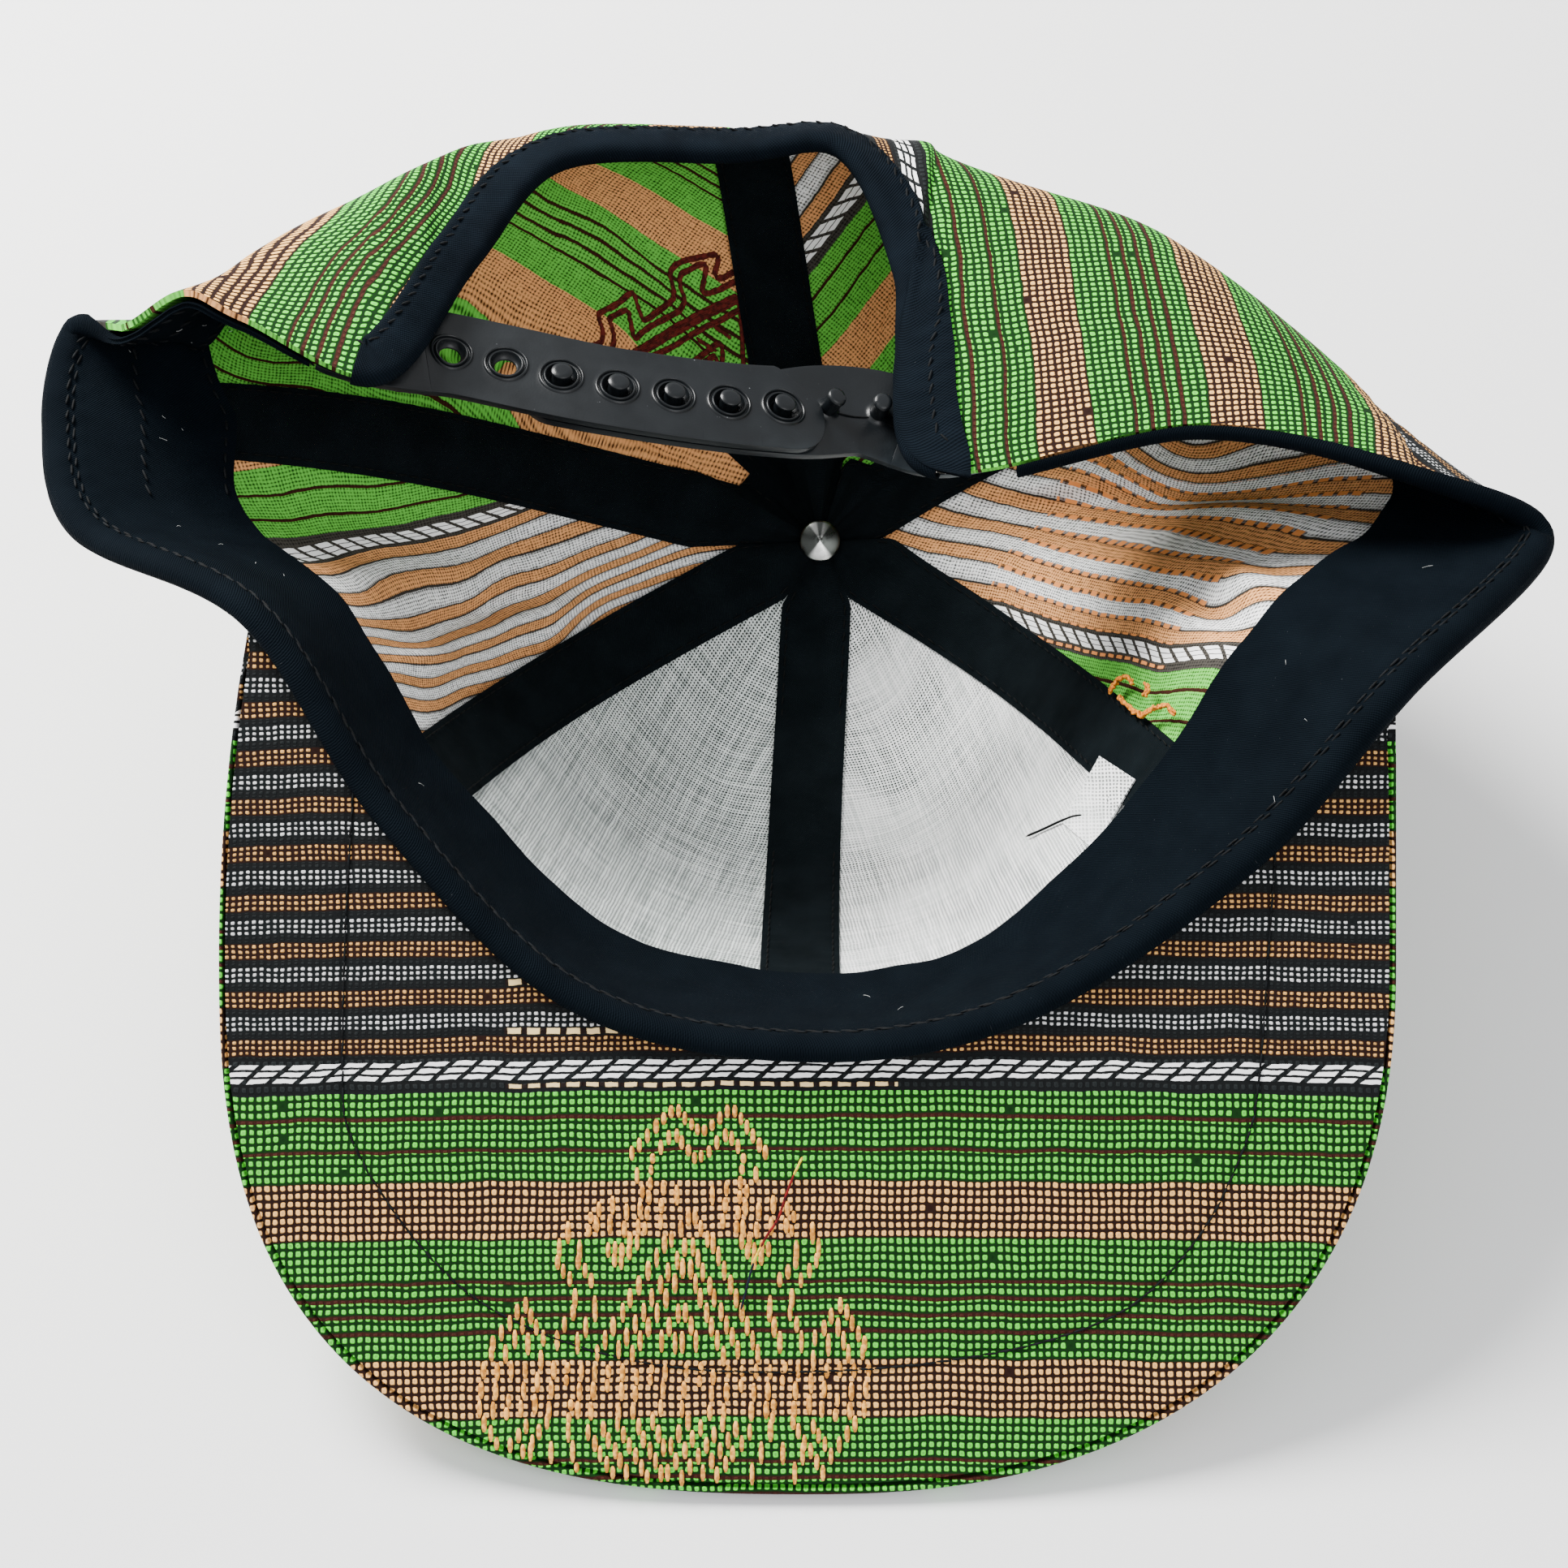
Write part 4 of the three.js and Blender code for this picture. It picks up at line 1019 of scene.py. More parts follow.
def laid_flat(points, guess, rounds=60):
    """Lays a curved grid of points flat with the least stretch: each triangle keeps its shape as
    well as it can while it stays joined to its neighbours."""
    n, m = points.shape[:2]
    i, j = np.meshgrid(np.arange(n - 1), np.arange(m - 1), indexing="ij")
    a = (i * m + j).ravel()
    tris = np.concatenate([np.stack([a, a + m, a + m + 1], 1), np.stack([a, a + m + 1, a + 1], 1)])
    corner = points.reshape(-1, 3)[tris]
    first, second = corner[:, 1] - corner[:, 0], corner[:, 2] - corner[:, 0]
    own = np.zeros((len(tris), 3, 2))
    own[:, 1, 0] = np.linalg.norm(first, axis=1)
    own[:, 2, 0] = (first * second).sum(1) / own[:, 1, 0]
    own[:, 2, 1] = np.sqrt(np.maximum((second**2).sum(1) - own[:, 2, 0] ** 2, 1e-12))
    flat = guess.reshape(-1, 2)
    now = flat[tris]
    one, two = now[:, 1] - now[:, 0], now[:, 2] - now[:, 0]
    if (one[:, 0] * two[:, 1] - one[:, 1] * two[:, 0]).sum() < 0:
        own[:, :, 1] *= -1
    sides = ((0, 1, 2), (1, 2, 0), (2, 0, 1))
    weights = []
    for o, q, r in sides:
        v, w = own[:, q] - own[:, o], own[:, r] - own[:, o]
        cross = np.abs(v[:, 0] * w[:, 1] - v[:, 1] * w[:, 0])
        weights.append(np.clip((v * w).sum(1) / cross, 0.05, 10))
    pull = np.eye(n * m) * 1e-6
    for (_, q, r), w in zip(sides, weights):
        q, r = tris[:, q], tris[:, r]
        for row, column, sign in ((q, q, 1), (r, r, 1), (q, r, -1), (r, q, -1)):
            np.add.at(pull, (row, column), sign * w)
    solve = np.linalg.inv(pull)
    for _ in range(rounds):
        now = flat[tris]
        spin, keep = 0, 0
        for (_, q, r), w in zip(sides, weights):
            v, f = now[:, q] - now[:, r], own[:, q] - own[:, r]
            spin = spin + w * (f[:, 0] * v[:, 1] - f[:, 1] * v[:, 0])
            keep = keep + w * (v * f).sum(1)
        turn = np.arctan2(spin, keep)
        c, s = np.cos(turn), np.sin(turn)
        want = np.zeros((n * m, 2))
        for (_, q, r), w in zip(sides, weights):
            f = own[:, q] - own[:, r]
            f = np.stack([c * f[:, 0] - s * f[:, 1], s * f[:, 0] + c * f[:, 1]], 1) * w[:, None]
            np.add.at(want, tris[:, q], f)
            np.add.at(want, tris[:, r], -f)
        flat = solve @ want
    return flat.reshape(n, m, 2)


def cloth_layout(shell, across, s, turn, stripe, along):
    """Cloth coordinates of a panel: laid flat, turned, and set against the stripes."""
    n, m = s.shape
    rows, columns = (np.unique(np.linspace(0, k - 1, min(k, LAYOUT_SPOTS)).round().astype(int))
                     for k in (n, m))
    some = np.ix_(rows, columns)
    flat = laid_flat(shell[some], np.stack([across, s], -1)[some])
    middle = flat[len(rows) // 2]
    up = (middle[-1] - middle[0]) / np.linalg.norm(middle[-1] - middle[0])
    flat = np.stack([(flat - middle[0]) @ (up[1], -up[0]), (flat - middle[0]) @ up], -1)
    half = np.stack([read_at(np.arange(m), columns, line) for line in flat])
    whole = np.stack([read_at(np.arange(n), rows, half[:, j]) for j in range(m)], 1)
    c, d = math.cos(math.radians(turn)), math.sin(math.radians(turn))
    return np.stack([whole[..., 0] * c + whole[..., 1] * d + stripe,
                     whole[..., 1] * c - whole[..., 0] * d + along], -1)


def crown_panel(name, first, last, turn, stripe, along_start, spacing):
    """One gore of the crown: outer and inner faces, with its cut edges turned into the seams."""
    start, end = row_of(first), row_of(last)
    us = even_columns(start, end, spacing)
    length = length_of(us)
    lines = int(length.max() / spacing)
    share = np.linspace(0, 1, lines + 1)
    s = share[None, :] * (length - HUB_RADIUS)[:, None]
    shell = on_surface(us, s)
    middle = np.interp((start + end) / 2, us, np.arange(len(us)))
    across = across_lengths(shell, middle)
    from_seam = np.minimum(across - across[0], across[-1] - across)
    beside = np.exp(-((from_seam / SEAM_HALF) ** 2))
    shift = 2.0 * smooth_noise(s / 9, from_seam * 0, 21)
    pucker = PUCKER["height"] * ripple(s, PUCKER["pitch"], shift)
    pucker = pucker * np.exp(-from_seam / PUCKER["fade"]) * off_floor(us, s)
    outer = rest(in_wall(us, s, SEAM_DIP * beside - pucker))
    inner = rest(in_wall(us, s, CLOTH_T - 0.5 * pucker), CLOTH_T)
    uv = cloth_layout(shell, across, s, turn, stripe, along_start)
    if name in PINS:
        uv = pinned(uv, shell, PINS[name])
    # The weave's dashes lean the other way on the crown than on the peak.
    uv[..., 1] = FLOAT_ZONE["end"] - uv[..., 1]
    return make_sheet(name + "_cloth", outer, inner, [FINISH["cloth"], FINISH["reverse"]], uv,
                      [name])


# The stiffener: how far in from the edge it starts, and the depths of its faces in the wall.
STIFFENER = {"start": 23, "depths": (2.0, 1.4)}


def front_stiffener(name, first, last, spacing):
    start, end = row_of(first), row_of(last)
    us = even_columns(start, end, spacing)[1:-1]
    length = length_of(us)
    lines = int(length.max() / spacing)
    share = np.linspace(0, 1, lines + 1)
    s = STIFFENER["start"] + share[None, :] * (length - HUB_COVER - STIFFENER["start"])[:, None]
    across = across_lengths(on_surface(us, s), len(us) / 2)
    bumps = 0.1 * smooth_noise(across / 4, s / 4, 31)
    top, bottom = (rest(in_wall(us, s, depth + bumps), depth) for depth in STIFFENER["depths"])
    uv = np.stack([across, s], -1)
    # The left front panel takes the more open buckram, whose darker yarns are painted shade.
    finish = FINISH["open_buckram" if first == "front_left_seam" else "buckram"]
    return make_sheet(name + "_mesh", top, bottom, [finish], uv, [name])


# Seam tapes: node, seam row, the rows on each side, depth in the wall, where it starts.
TAPES = (
    ("rear_centre_tape", COUNT, "right_rear_seam", COUNT + 8, INNER_LAYER, 5.5),
    ("left_rear_tape", "left_rear_seam", "rear_centre", "front_left_seam", INNER_LAYER, 25),
    ("front_left_tape", "front_left_seam", "left_rear_seam", "front_centre", OVER_BUCKRAM, 25),
    ("front_centre_tape", "front_centre", "front_left_seam", "front_right_seam", OVER_BUCKRAM, 25),
    ("front_right_tape", "front_right_seam", "front_centre", "right_rear_seam", OVER_BUCKRAM, 25),
    ("right_rear_tape", "right_rear_seam", "front_right_seam", COUNT, INNER_LAYER, 25),
)
TAPE_W = 14.0
TAPE_T = 0.6
TAPE_STITCH = 5.2
# Round the button the tapes are gathered, so that they cover more of the wide rear panels.
HUB_WEB = {"reach": 18.0, "wide": 9.0}


def row_of(value):
    return ROW[value] if isinstance(value, str) else value


def tape_surface(seam, before, after, start, spacing=1.2):
    """Grid of u and s over a seam tape, and its shares across, from -1 to 1."""
    seam, before, after = (float(row_of(k)) for k in (seam, before, after))
    whole = length_of(np.array([seam]))[0]
    length = whole - HUB_RADIUS + 1.2
    s = np.linspace(start, length, int((length - start) / spacing))
    shares = np.linspace(-1, 1, 13)
    middle = on_surface(np.full(len(s), seam), s[:, None])[:, 0]
    us = np.empty((len(shares), len(s)))
    for side, free in ((-1, seam - before), (1, after - seam)):
        web = rise(s, whole - HUB_WEB["reach"], 3) if free > 3.5 else 0
        wide = TAPE_W / 2 + HUB_WEB["wide"] * web
        low, high = np.zeros(len(s)), np.full(len(s), free / 2)
        for _ in range(16):
            half = (low + high) / 2
            beside = seam + side * half
            edge = on_surface(beside, (s / whole * length_of(beside))[:, None])[:, 0]
            small = np.linalg.norm(edge - middle, axis=1) < wide
            low, high = np.where(small, half, low), np.where(small, high, half)
        picked = shares * side >= 0
        us[picked] = seam + side * np.abs(shares[picked, None]) * low[None, :]
    return us, s[None, :] / whole * length_of(us.ravel()).reshape(us.shape), shares


def on_grid(us, s, depth):
    """in_wall for a grid whose u changes along its lines too."""
    return np.stack([in_wall(us[:, j], s[:, j:j + 1], depth[:, j:j + 1])[:, 0]
                     for j in range(us.shape[1])], 1)


def seam_tape(name, seam, before, after, depth, start):
    us, s, shares = tape_surface(seam, before, after, start)
    across = shares[:, None] * TAPE_W / 2
    stitch_groove = np.exp(-(((np.abs(across) - TAPE_STITCH) / 0.6) ** 2))
    crown = 0.35 * (1 - shares[:, None] ** 4) - 0.22 * stitch_groove
    wave = 0.12 * ripple(s, 4.1) * np.abs(shares[:, None])
    top = rest(on_grid(us, s, depth + TAPE_T + crown + wave - 0.35), depth + TAPE_T)
    bottom = rest(on_grid(us, s, np.full(us.shape, depth)), depth)
    uv = np.stack(np.broadcast_arrays(across, s), -1)
    return make_sheet(name + "_cloth", top, bottom, [FINISH["tape"]], uv, [name])


# The sweatband's cross section: length in from the cloth's edge, and depth inside the crown.
BAND_PROFILE = (
    (-1.1, -0.75), (-1.8, -0.45), (-2.1, 0.3), (-1.9, 1.3), (-1.1, 2.2), (0.4, 2.75), (1.8, 2.62),
    (2.6, 2.5), (3.6, 2.72), (4.6, 2.6), (7, 2.7), (12, 2.6), (18, 2.6), (23, 2.75), (27.5, 3.5),
    (29.4, 3.95), (30, 4.1),
)
BAND_T = 0.8
BAND_WIDTH = 30
BAND_NARROWS = {"row": 5.9, "over": 2.1, "by": 12.0}
# Up to this row the band is turned in, and the cloth's own edge shows.
BAND_TURNED_IN = {"row": 6.1, "over": 0.8}
BAND_LOOSE_FROM = 14
PEAK_CLEARANCE = 0.35


def thickened(line, thickness):
    """Two faces of an open section line, each half the thickness from it."""
    line = np.asarray(line, float)
    step = np.gradient(line, axis=0)
    side = np.stack([-step[:, 1], step[:, 0]], 1)
    side /= np.linalg.norm(side, axis=1)[:, None]
    return line + side * thickness / 2, line - side * thickness / 2


def smoothed(line, count):
    """A smooth open line through the given points, evenly spaced by length."""
    line = np.asarray(line, float)
    dense = []
    ends = np.concatenate([2 * line[:1] - line[1:2], line, 2 * line[-1:] - line[-2:-1]])
    for k in range(1, len(ends) - 2):
        a, b, c, d = ends[k - 1:k + 3]
        f = np.linspace(0, 1, 16, endpoint=False)[:, None]
        dense.append(between(a, b, c, d, f))
    dense = np.concatenate([*dense, ends[-2:-1]])
    along = run_length(dense)
    return read_at(np.linspace(0, along[-1], count), along, dense)


def band_narrowing(us):
    away = np.minimum(1, np.abs(us - BAND_NARROWS["row"]) / BAND_NARROWS["over"])
    return 1 - BAND_NARROWS["by"] / BAND_WIDTH * (1 - away**2)


def band_columns(spacing):
    return even_columns(ROW["arch_left_foot"] + 0.5, ROW["arch_right_foot"] - 0.4, spacing, 0.02)


def sweatband():
    us = band_columns(1.1)
    section = smoothed(BAND_PROFILE, 44)
    narrow = band_narrowing(us)[:, None]
    roll = 1.3 * rise(us[:, None], BAND_TURNED_IN["row"], BAND_TURNED_IN["over"]) - 0.3
    over_peak = (us >= ROW["left_peak_end"]) & (us <= ROW["right_peak_end"])
    along = run_length(on_surface(us, np.zeros((len(us), 1)))[:, 0])[:, None]
    grids = []
    for face in thickened(section, BAND_T):
        across, deep = face[None, :, 0], face[None, :, 1]
        s = across * np.where(across > 0, narrow, roll)
        sunk = np.maximum(deep, 2.0 - 5.0 * rise(roll, -0.3, 1.3))
        free = rise(across, BAND_LOOSE_FROM, BAND_WIDTH - BAND_LOOSE_FROM)
        wave = 0.55 * smooth_noise(along / 17, across / BAND_WIDTH, 41) * free
        tuck = 0.16 * ripple(along, 4.4) * np.exp(-(((across - 2.6) / 2.2) ** 2))
        points = in_wall(us, s, sunk + wave + tuck)
        clear = np.where(over_peak[:, None] & (across < -0.6), PEAK_CLEARANCE, -1e3)
        points[:, :, 2] = np.maximum(points[:, :, 2], clear)
        grids.append(rest(points))
    uv = np.stack(np.broadcast_arrays(section[None, :, 0], along), -1)
    return make_sheet("sweatband_twill", grids[0], grids[1], [FINISH["twill"]], uv,
                      ["sweatband"])


def march_from_edge(us, widths):
    """Places (u, s) that lie each of widths square in from the cloth's edge at us."""
    zero = np.zeros((len(us), 1))
    across, down, normal = (v[:, 0] for v in tangents(us, zero))
    square = np.cross(across, normal)
    square /= np.linalg.norm(square, axis=1)[:, None]
    square *= np.sign(np.einsum("ij,ij->i", square, down))[:, None]
    result = {}
    for sign in (1, -1):
        place_u, place_s, done = us.copy(), np.zeros(len(us)), 0.0
        for width in sorted({w for w in widths if w * sign >= 0}, key=abs):
            steps = max(1, math.ceil(abs(width - done)))
            for _ in range(steps):
                across, down = (v[:, 0] for v in tangents(place_u, place_s[:, None])[:2])
                aa, ad, dd = ((a * b).sum(1) for a, b in
                              ((across, across), (across, down), (down, down)))
                det = aa * dd - ad * ad
                pa, pd = (square * across).sum(1), (square * down).sum(1)
                place_u = place_u + (pa * dd - pd * ad) / det * (width - done) / steps
                place_s = place_s + (pd * aa - pa * ad) / det * (width - done) / steps
            done = width
            result[width] = (place_u.copy(), place_s.copy())
    return result


# Where the binding's outer edge is seen beside its right foot.
BINDING_EDGE = ((1139, 188), (1146, 222), (1154, 282), (1162, 339), (1165, 379), (1172, 430), (1174, 478),
                (1179, 507), (1184, 530), (1191, 552), (1195, 568), (1196, 590))
# The arch binding's cross section: distance in from the edge, depth; outside, round, inside.
BINDING_PROFILE = (
    (7.0, -0.55), (6.6, -0.95), (5.6, -0.85), (4.6, -1.1), (2.2, -1.15), (0.2, -1.05), (-0.8, -0.4),
    (-1.1, 0.55), (-0.8, 1.5), (0.2, 2.15), (2.2, 2.2), (4.6, 2.15), (6.6, 2.0), (7.0, 1.6),
)
BINDING_T = 0.6
BINDING_WIDTH = 7.0
# The rows that the seen edge lies between, and how the binding follows it down to its foot: where in
# the picture each change starts, with the distance over which it comes in, and by how much it moves.
BINDING_FOOT = {"rows": (18.6, 22.9), "lead": 4, "held": (330, 60), "swing": (530, 45), "swing_by": 18,
                "tuck": (555, 15), "tuck_by": 1.6, "free_row": COUNT - 0.9}
BINDING_STITCH = 5.6


def binding_columns(spacing):
    return even_columns(ROW["arch_right_foot"] - 0.08, COUNT + ROW["arch_left_foot"] + 0.22,
                        spacing, 0.03)


def arch_binding():
    us = binding_columns(0.9)
    section = smoothed(BINDING_PROFILE, 30)
    edge = on_surface(us, np.zeros((len(us), 1)))[:, 0]
    along = run_length(edge)
    foot = BINDING_FOOT
    line = seen_on_wall("whole", BINDING_EDGE, *foot["rows"], side="out")
    height = on_picture(edge)[:, 1]
    heights = np.array(BINDING_EDGE, float)[:, 1]
    beside = height - foot["lead"] + foot["swing_by"] * rise(height, *foot["swing"])
    line_u, line_s = read_at(beside, heights, line).T
    line_s = line_s - foot["tuck_by"] * rise(height, *foot["tuck"])
    held = np.where(us < foot["free_row"], rise(height, *foot["held"]), 0)
    pucker = 0.14 * ripple(along, 3.6)
    grids = []
    for face in thickened(section, BINDING_T):
        widths = [round(float(w), 4) for w in face[:, 0]]
        places = march_from_edge(us, widths)
        columns = []
        for w, depth in zip(widths, face[:, 1]):
            u, s = places[w]
            if w > 0 and depth < 0.5:
                share = w / BINDING_WIDTH
                u = u * (1 - held) + held * (us + (line_u - us) * share)
                s = s * (1 - held) + held * line_s * share
            near = math.exp(-((abs(w) - BINDING_STITCH) / 2.2) ** 2) * (1 if depth < 0.5 else 0.4)
            columns.append(in_wall(u, s[:, None], (depth + pucker * near)[:, None])[:, 0])
        grids.append(rest(np.stack(columns, 1)))
    uv = np.stack(np.broadcast_arrays(run_length(section)[None, :], along[:, None]), -1)
    return make_sheet("arch_binding_tape", grids[0], grids[1], [FINISH["binding"]], uv,
                      ["arch_binding"])


# The peak, flat under the cap: half width, where its sides meet its rounded front, its reach.
PEAK = {"half_width": 94.4, "middle_y": -27.8, "reach": 86.1, "left_pinch": 4.2}
PEAK_ROUNDNESS = {"left": 2.65, "right": 2.38}
PEAK_RIGHT_END = 15.86
PEAK_ROLL = 1.6
PEAK_COLUMNS = 300
# Heights of the under cover's hidden face, and of the upper cover's hidden and outer faces.
COVER_UNDER = -1.0
BOARD_TOP = -1.3
BOARD_UNDER = -3.0
# The upper cover's rolled edge: millimetres in from the outer edge, top, bottom.
PEAK_EDGE = ((2.2, -1.3, -3.0), (1.5, -1.25, -3.0), (1.3, -0.75, -2.95), (1.15, -0.3, -2.9),
             (0.85, -0.1, -2.75), (0.5, -0.15, -2.55), (0.2, -0.45, -2.25), (0.02, -0.95, -1.85))


def spaced(line, count):
    along = run_length(line)
    return read_at(np.linspace(0, 1, count) * along[-1], along, line)


def peak_edges(count):
    """The peak's root along the crown and its outer edge, as matching points in the plane."""
    us = even_columns(ROW["left_peak_end"], PEAK_RIGHT_END, 1.0, 0.0)
    root = in_wall(us, np.zeros((len(us), 1)), np.full((len(us), 1), -0.5))[:, 0]
    root[:, 2] = 0
    root = spaced(root, count)
    half, middle, reach = PEAK["half_width"], PEAK["middle_y"], PEAK["reach"]
    turn = np.linspace(0, math.pi, 181)
    left = turn < math.pi / 2
    power = 2 / np.where(left, PEAK_ROUNDNESS["left"], PEAK_ROUNDNESS["right"])
    front = np.stack([-np.sign(np.cos(turn)) * half * np.abs(np.cos(turn)) ** power,
                      middle - reach * np.sin(turn) ** power], 1)
    down = np.linspace(root[0, 1], middle, 40)[:-1]
    up = np.linspace(middle, root[-1, 1], 40)[1:]
    pinched = half - PEAK["left_pinch"] * ((down - middle) / 50) ** 2
    outline = np.concatenate([np.stack([-pinched, down], 1), front,
                              np.stack([np.full(len(up), half), up], 1)])
    return root, spaced(at_height(outline, 0.0), count)


# Where the cloth's stripes lie on the peak: the chain border's far edge, and the stripes' bow.
PEAK_STRIPES = {"border_y": -43.0, "bow": 1.1, "half": 92.0, "along": 48.4}


def peak_uv(points):
    x, y = points[..., 0], points[..., 1]
    bow = PEAK_STRIPES["bow"] * (x / PEAK_STRIPES["half"]) ** 2
    return np.stack([PEAK_STRIPES["border_y"] - y - bow, x + PEAK_STRIPES["along"]], -1)


# The peak's stitched line: x and y in the cap frame.
PEAK_STITCH = (
    (-72.5, 2.7), (-74, -23.9), (-74.4, -48.6), (-73.1, -56.4), (-68.2, -65.5), (-60.4, -75.8),
    (-51.3, -83.6), (-38.3, -89.5), (-25.3, -92.7), (-12.3, -94), (7.1, -93.8), (24, -92.1),
    (39.6, -88.8), (52.6, -83), (63, -71.9), (69.5, -59), (72.1, -48.6), (74, -23.9), (75.3, -4.4),
)


def peak_height(x, y):
    """Height of the peak's underside: a soft unevenness, and a groove along the stitches."""
    line = smoothed(PEAK_STITCH, 260)
    away = np.full(np.shape(x), 1e9)
    for spot_x, spot_y in line:
        away = np.minimum(away, (x - spot_x) ** 2 + (y - spot_y) ** 2)
    return 0.24 * smooth_noise(x / 26, y / 26, 51) - 0.3 * np.exp(-away / 0.8)


def inside_edge(root, outline, inset):
    """Shares of the way from the root to the points that lie inset from the peak's outer edge."""
    width = np.linalg.norm(outline - root, axis=1)
    return 1 - np.minimum(inset / np.maximum(width, 1e-6), inset * 0.2), width


def peak_under_cover():
    root, outline = peak_edges(PEAK_COLUMNS)
    shares = np.linspace(0, 1, 96)[None, :]
    reach, width = inside_edge(root, outline, PEAK_ROLL + 0.3)
    points = root[:, None] + (outline - root)[:, None] * (shares * reach[:, None])[:, :, None]
    from_edge = (1 - shares) * width[:, None] + PEAK_ROLL
    top = at_height(points, peak_height(points[..., 0], points[..., 1]) * rise(from_edge, 1.8, 3))
    return make_sheet("peak_under_cloth", rest(top), rest(at_height(points, COVER_UNDER)),
                      [FINISH["cloth"]], peak_uv(points), ["peak_under_cover"])


def peak_upper_cover():
    """The cloth over the peak's board, rolled round its edge and up to the under cover."""
    root, outline = peak_edges(PEAK_COLUMNS)
    across = outline - root
    width = np.linalg.norm(across, axis=1)
    plain = across / np.maximum(width, 1e-6)[:, None] * np.maximum(width - 2.4, 0.2)[:, None]
    lines = [(root + plain * k / 24, BOARD_TOP, BOARD_UNDER) for k in range(24)]
    for inset, top, bottom in PEAK_EDGE:
        line = root + across * inside_edge(root, outline, inset)[0][:, None]
        lines.append((line, np.where(width < 6, min(top, BOARD_TOP), top), bottom))
    top = np.stack([at_height(line, high) for line, high, _ in lines], 1)
    bottom = np.stack([at_height(line, low) for line, _, low in lines], 1)
    uv = peak_uv(top) + np.array([57.0, 0.0])
    return make_sheet("peak_upper_cloth", rest(top), rest(bottom), [FINISH["cloth"]], uv,
                      ["peak_upper_cover"], sharp=70)


# The snap strap in millimetres. Its end is cut back more on one side than on the other.
STRAP = {"width": 18.0, "thickness": 1.2, "pitch": 9.6, "holes": 7, "pegs": 7, "plugged": 5,
         "end": 7.5, "cut": (0.06, 0.36), "gap": 0.3, "edge_round": 0.28}
# Its ends are tucked in beside the arch's feet: rows past the foot, and depth below the layers there.
STRAP_TUCKS = {"left": ((0.38, 0), (0.1, 1)), "right": ((-0.02, 3.5), (-0.3, 0))}
# Stations of the plane between its two halves, as x y z and the strap's tilt in degrees.
STRAP_STATIONS = ((-60.3, 72, -29, 35), (-32.5, 66.5, -31, 36), (-5, 63.9, -37.5, 34),
                  (8.7, 65.2, -45, 28))


def strap_frame():
    """place(l, w, h) in part-frame metres: l along the strap from its first hole, w across, h up."""
    outer_half = STRAP["gap"] / 2 + STRAP["thickness"]

    def tucked(u, depth):
        """A station inside the wall at row u, and the way across the strap there."""
        low, high = (in_wall(np.array([u]), np.array([[1.5 + w]]), np.array([[depth]]))[0, 0]
                     for w in (0, STRAP["width"]))
        way = high - low
        return (low + high) / 2, way / np.linalg.norm(way)

    left, right = ROW["arch_left_foot"], ROW["arch_right_foot"]
    under, over = OVER_BUCKRAM + outer_half, OVER_BUCKRAM - STRAP["gap"] / 2
    free = [(np.array(row[:3], float), np.array([0, math.cos(math.radians(row[3])),
                                                 -math.sin(math.radians(row[3]))]))
            for row in STRAP_STATIONS]
    stations = [*(tucked(left + row, under + deep) for row, deep in STRAP_TUCKS["left"]), *free,
                *(tucked(right + row, over + deep) for row, deep in STRAP_TUCKS["right"])]
    centres = np.array([s[0] for s in stations])
    ways = np.array([s[1] for s in stations])
    fine, knots = centripetal(centres)
    fine_ways = read_at(fine[1], knots, ways)
    path = fine[0]
    along = run_length(path)
    zero = np.interp(knots[2], fine[1], along)

    def place(l, w, h):
        at = np.clip(np.asarray(l, float) + zero, 0, along[-1])
        point = read_at(at, along, path)
        ahead = read_at(at + 0.5, along, path) - read_at(at - 0.5, along, path)
        ahead /= np.linalg.norm(ahead, axis=-1)[..., None]
        way = read_at(at, along, fine_ways)
        way -= ahead * (way * ahead).sum(-1)[..., None]
        way /= np.linalg.norm(way, axis=-1)[..., None]
        face = np.cross(ahead, way)
        return rest(point + way * np.asarray(w)[..., None] + face * np.asarray(h)[..., None])

    return place, -zero, along[-1] - zero


def centripetal(points):
    """A fine centripetal Catmull-Rom line through points: (points, knot values), and the knots."""
    ends = np.concatenate([2 * points[:1] - points[1:2], points, 2 * points[-1:] - points[-2:-1]])
    gaps = np.linalg.norm(np.diff(ends, axis=0), axis=1) ** 0.5
    knots = np.concatenate([[0], np.cumsum(gaps)])
    line, values = [], []
    for k in range(1, len(ends) - 2):
        t0, t1, t2, t3 = knots[k - 1:k + 3]
        t = np.linspace(t1, t2, 60, endpoint=k == len(ends) - 3)[:, None]
        p0, p1, p2, p3 = ends[k - 1:k + 3]
        a1 = (t1 - t) / (t1 - t0) * p0 + (t - t0) / (t1 - t0) * p1
        a2 = (t2 - t) / (t2 - t1) * p1 + (t - t1) / (t2 - t1) * p2
        a3 = (t3 - t) / (t3 - t2) * p2 + (t - t2) / (t3 - t2) * p3
        b1 = (t2 - t) / (t2 - t0) * a1 + (t - t0) / (t2 - t0) * a2
        b2 = (t3 - t) / (t3 - t1) * a2 + (t - t1) / (t3 - t1) * a3
        line.append((t2 - t) / (t2 - t1) * b1 + (t - t1) / (t2 - t1) * b2)
        values.append(t[:, 0])
    return (np.concatenate(line), np.concatenate(values)), knots[1:-1]


# Raised rings round a hole and the shape of a peg: radius and height over the strap's face.
HOLE_SECTION = ((1.86, -0.86), (1.95, -0.8), (2.4, -0.42), (2.55, 0.05), (2.7, 0.36), (2.9, 0.42),
                (3.06, 0.2), (3.16, -0.12), (3.34, -0.12), (3.44, 0.24), (3.62, 0.4), (3.82, 0.26),
                (3.95, 0.04), (4.2, 0.0))
PEG_SECTION = ((0.0, 4.25), (0.9, 4.3), (1.5, 4.2), (1.78, 3.9), (1.82, 3.55), (1.7, 3.3),
               (1.62, 3.0), (1.6, 1.2), (1.7, 0.4), (2.1, 0.06), (2.6, 0.0))


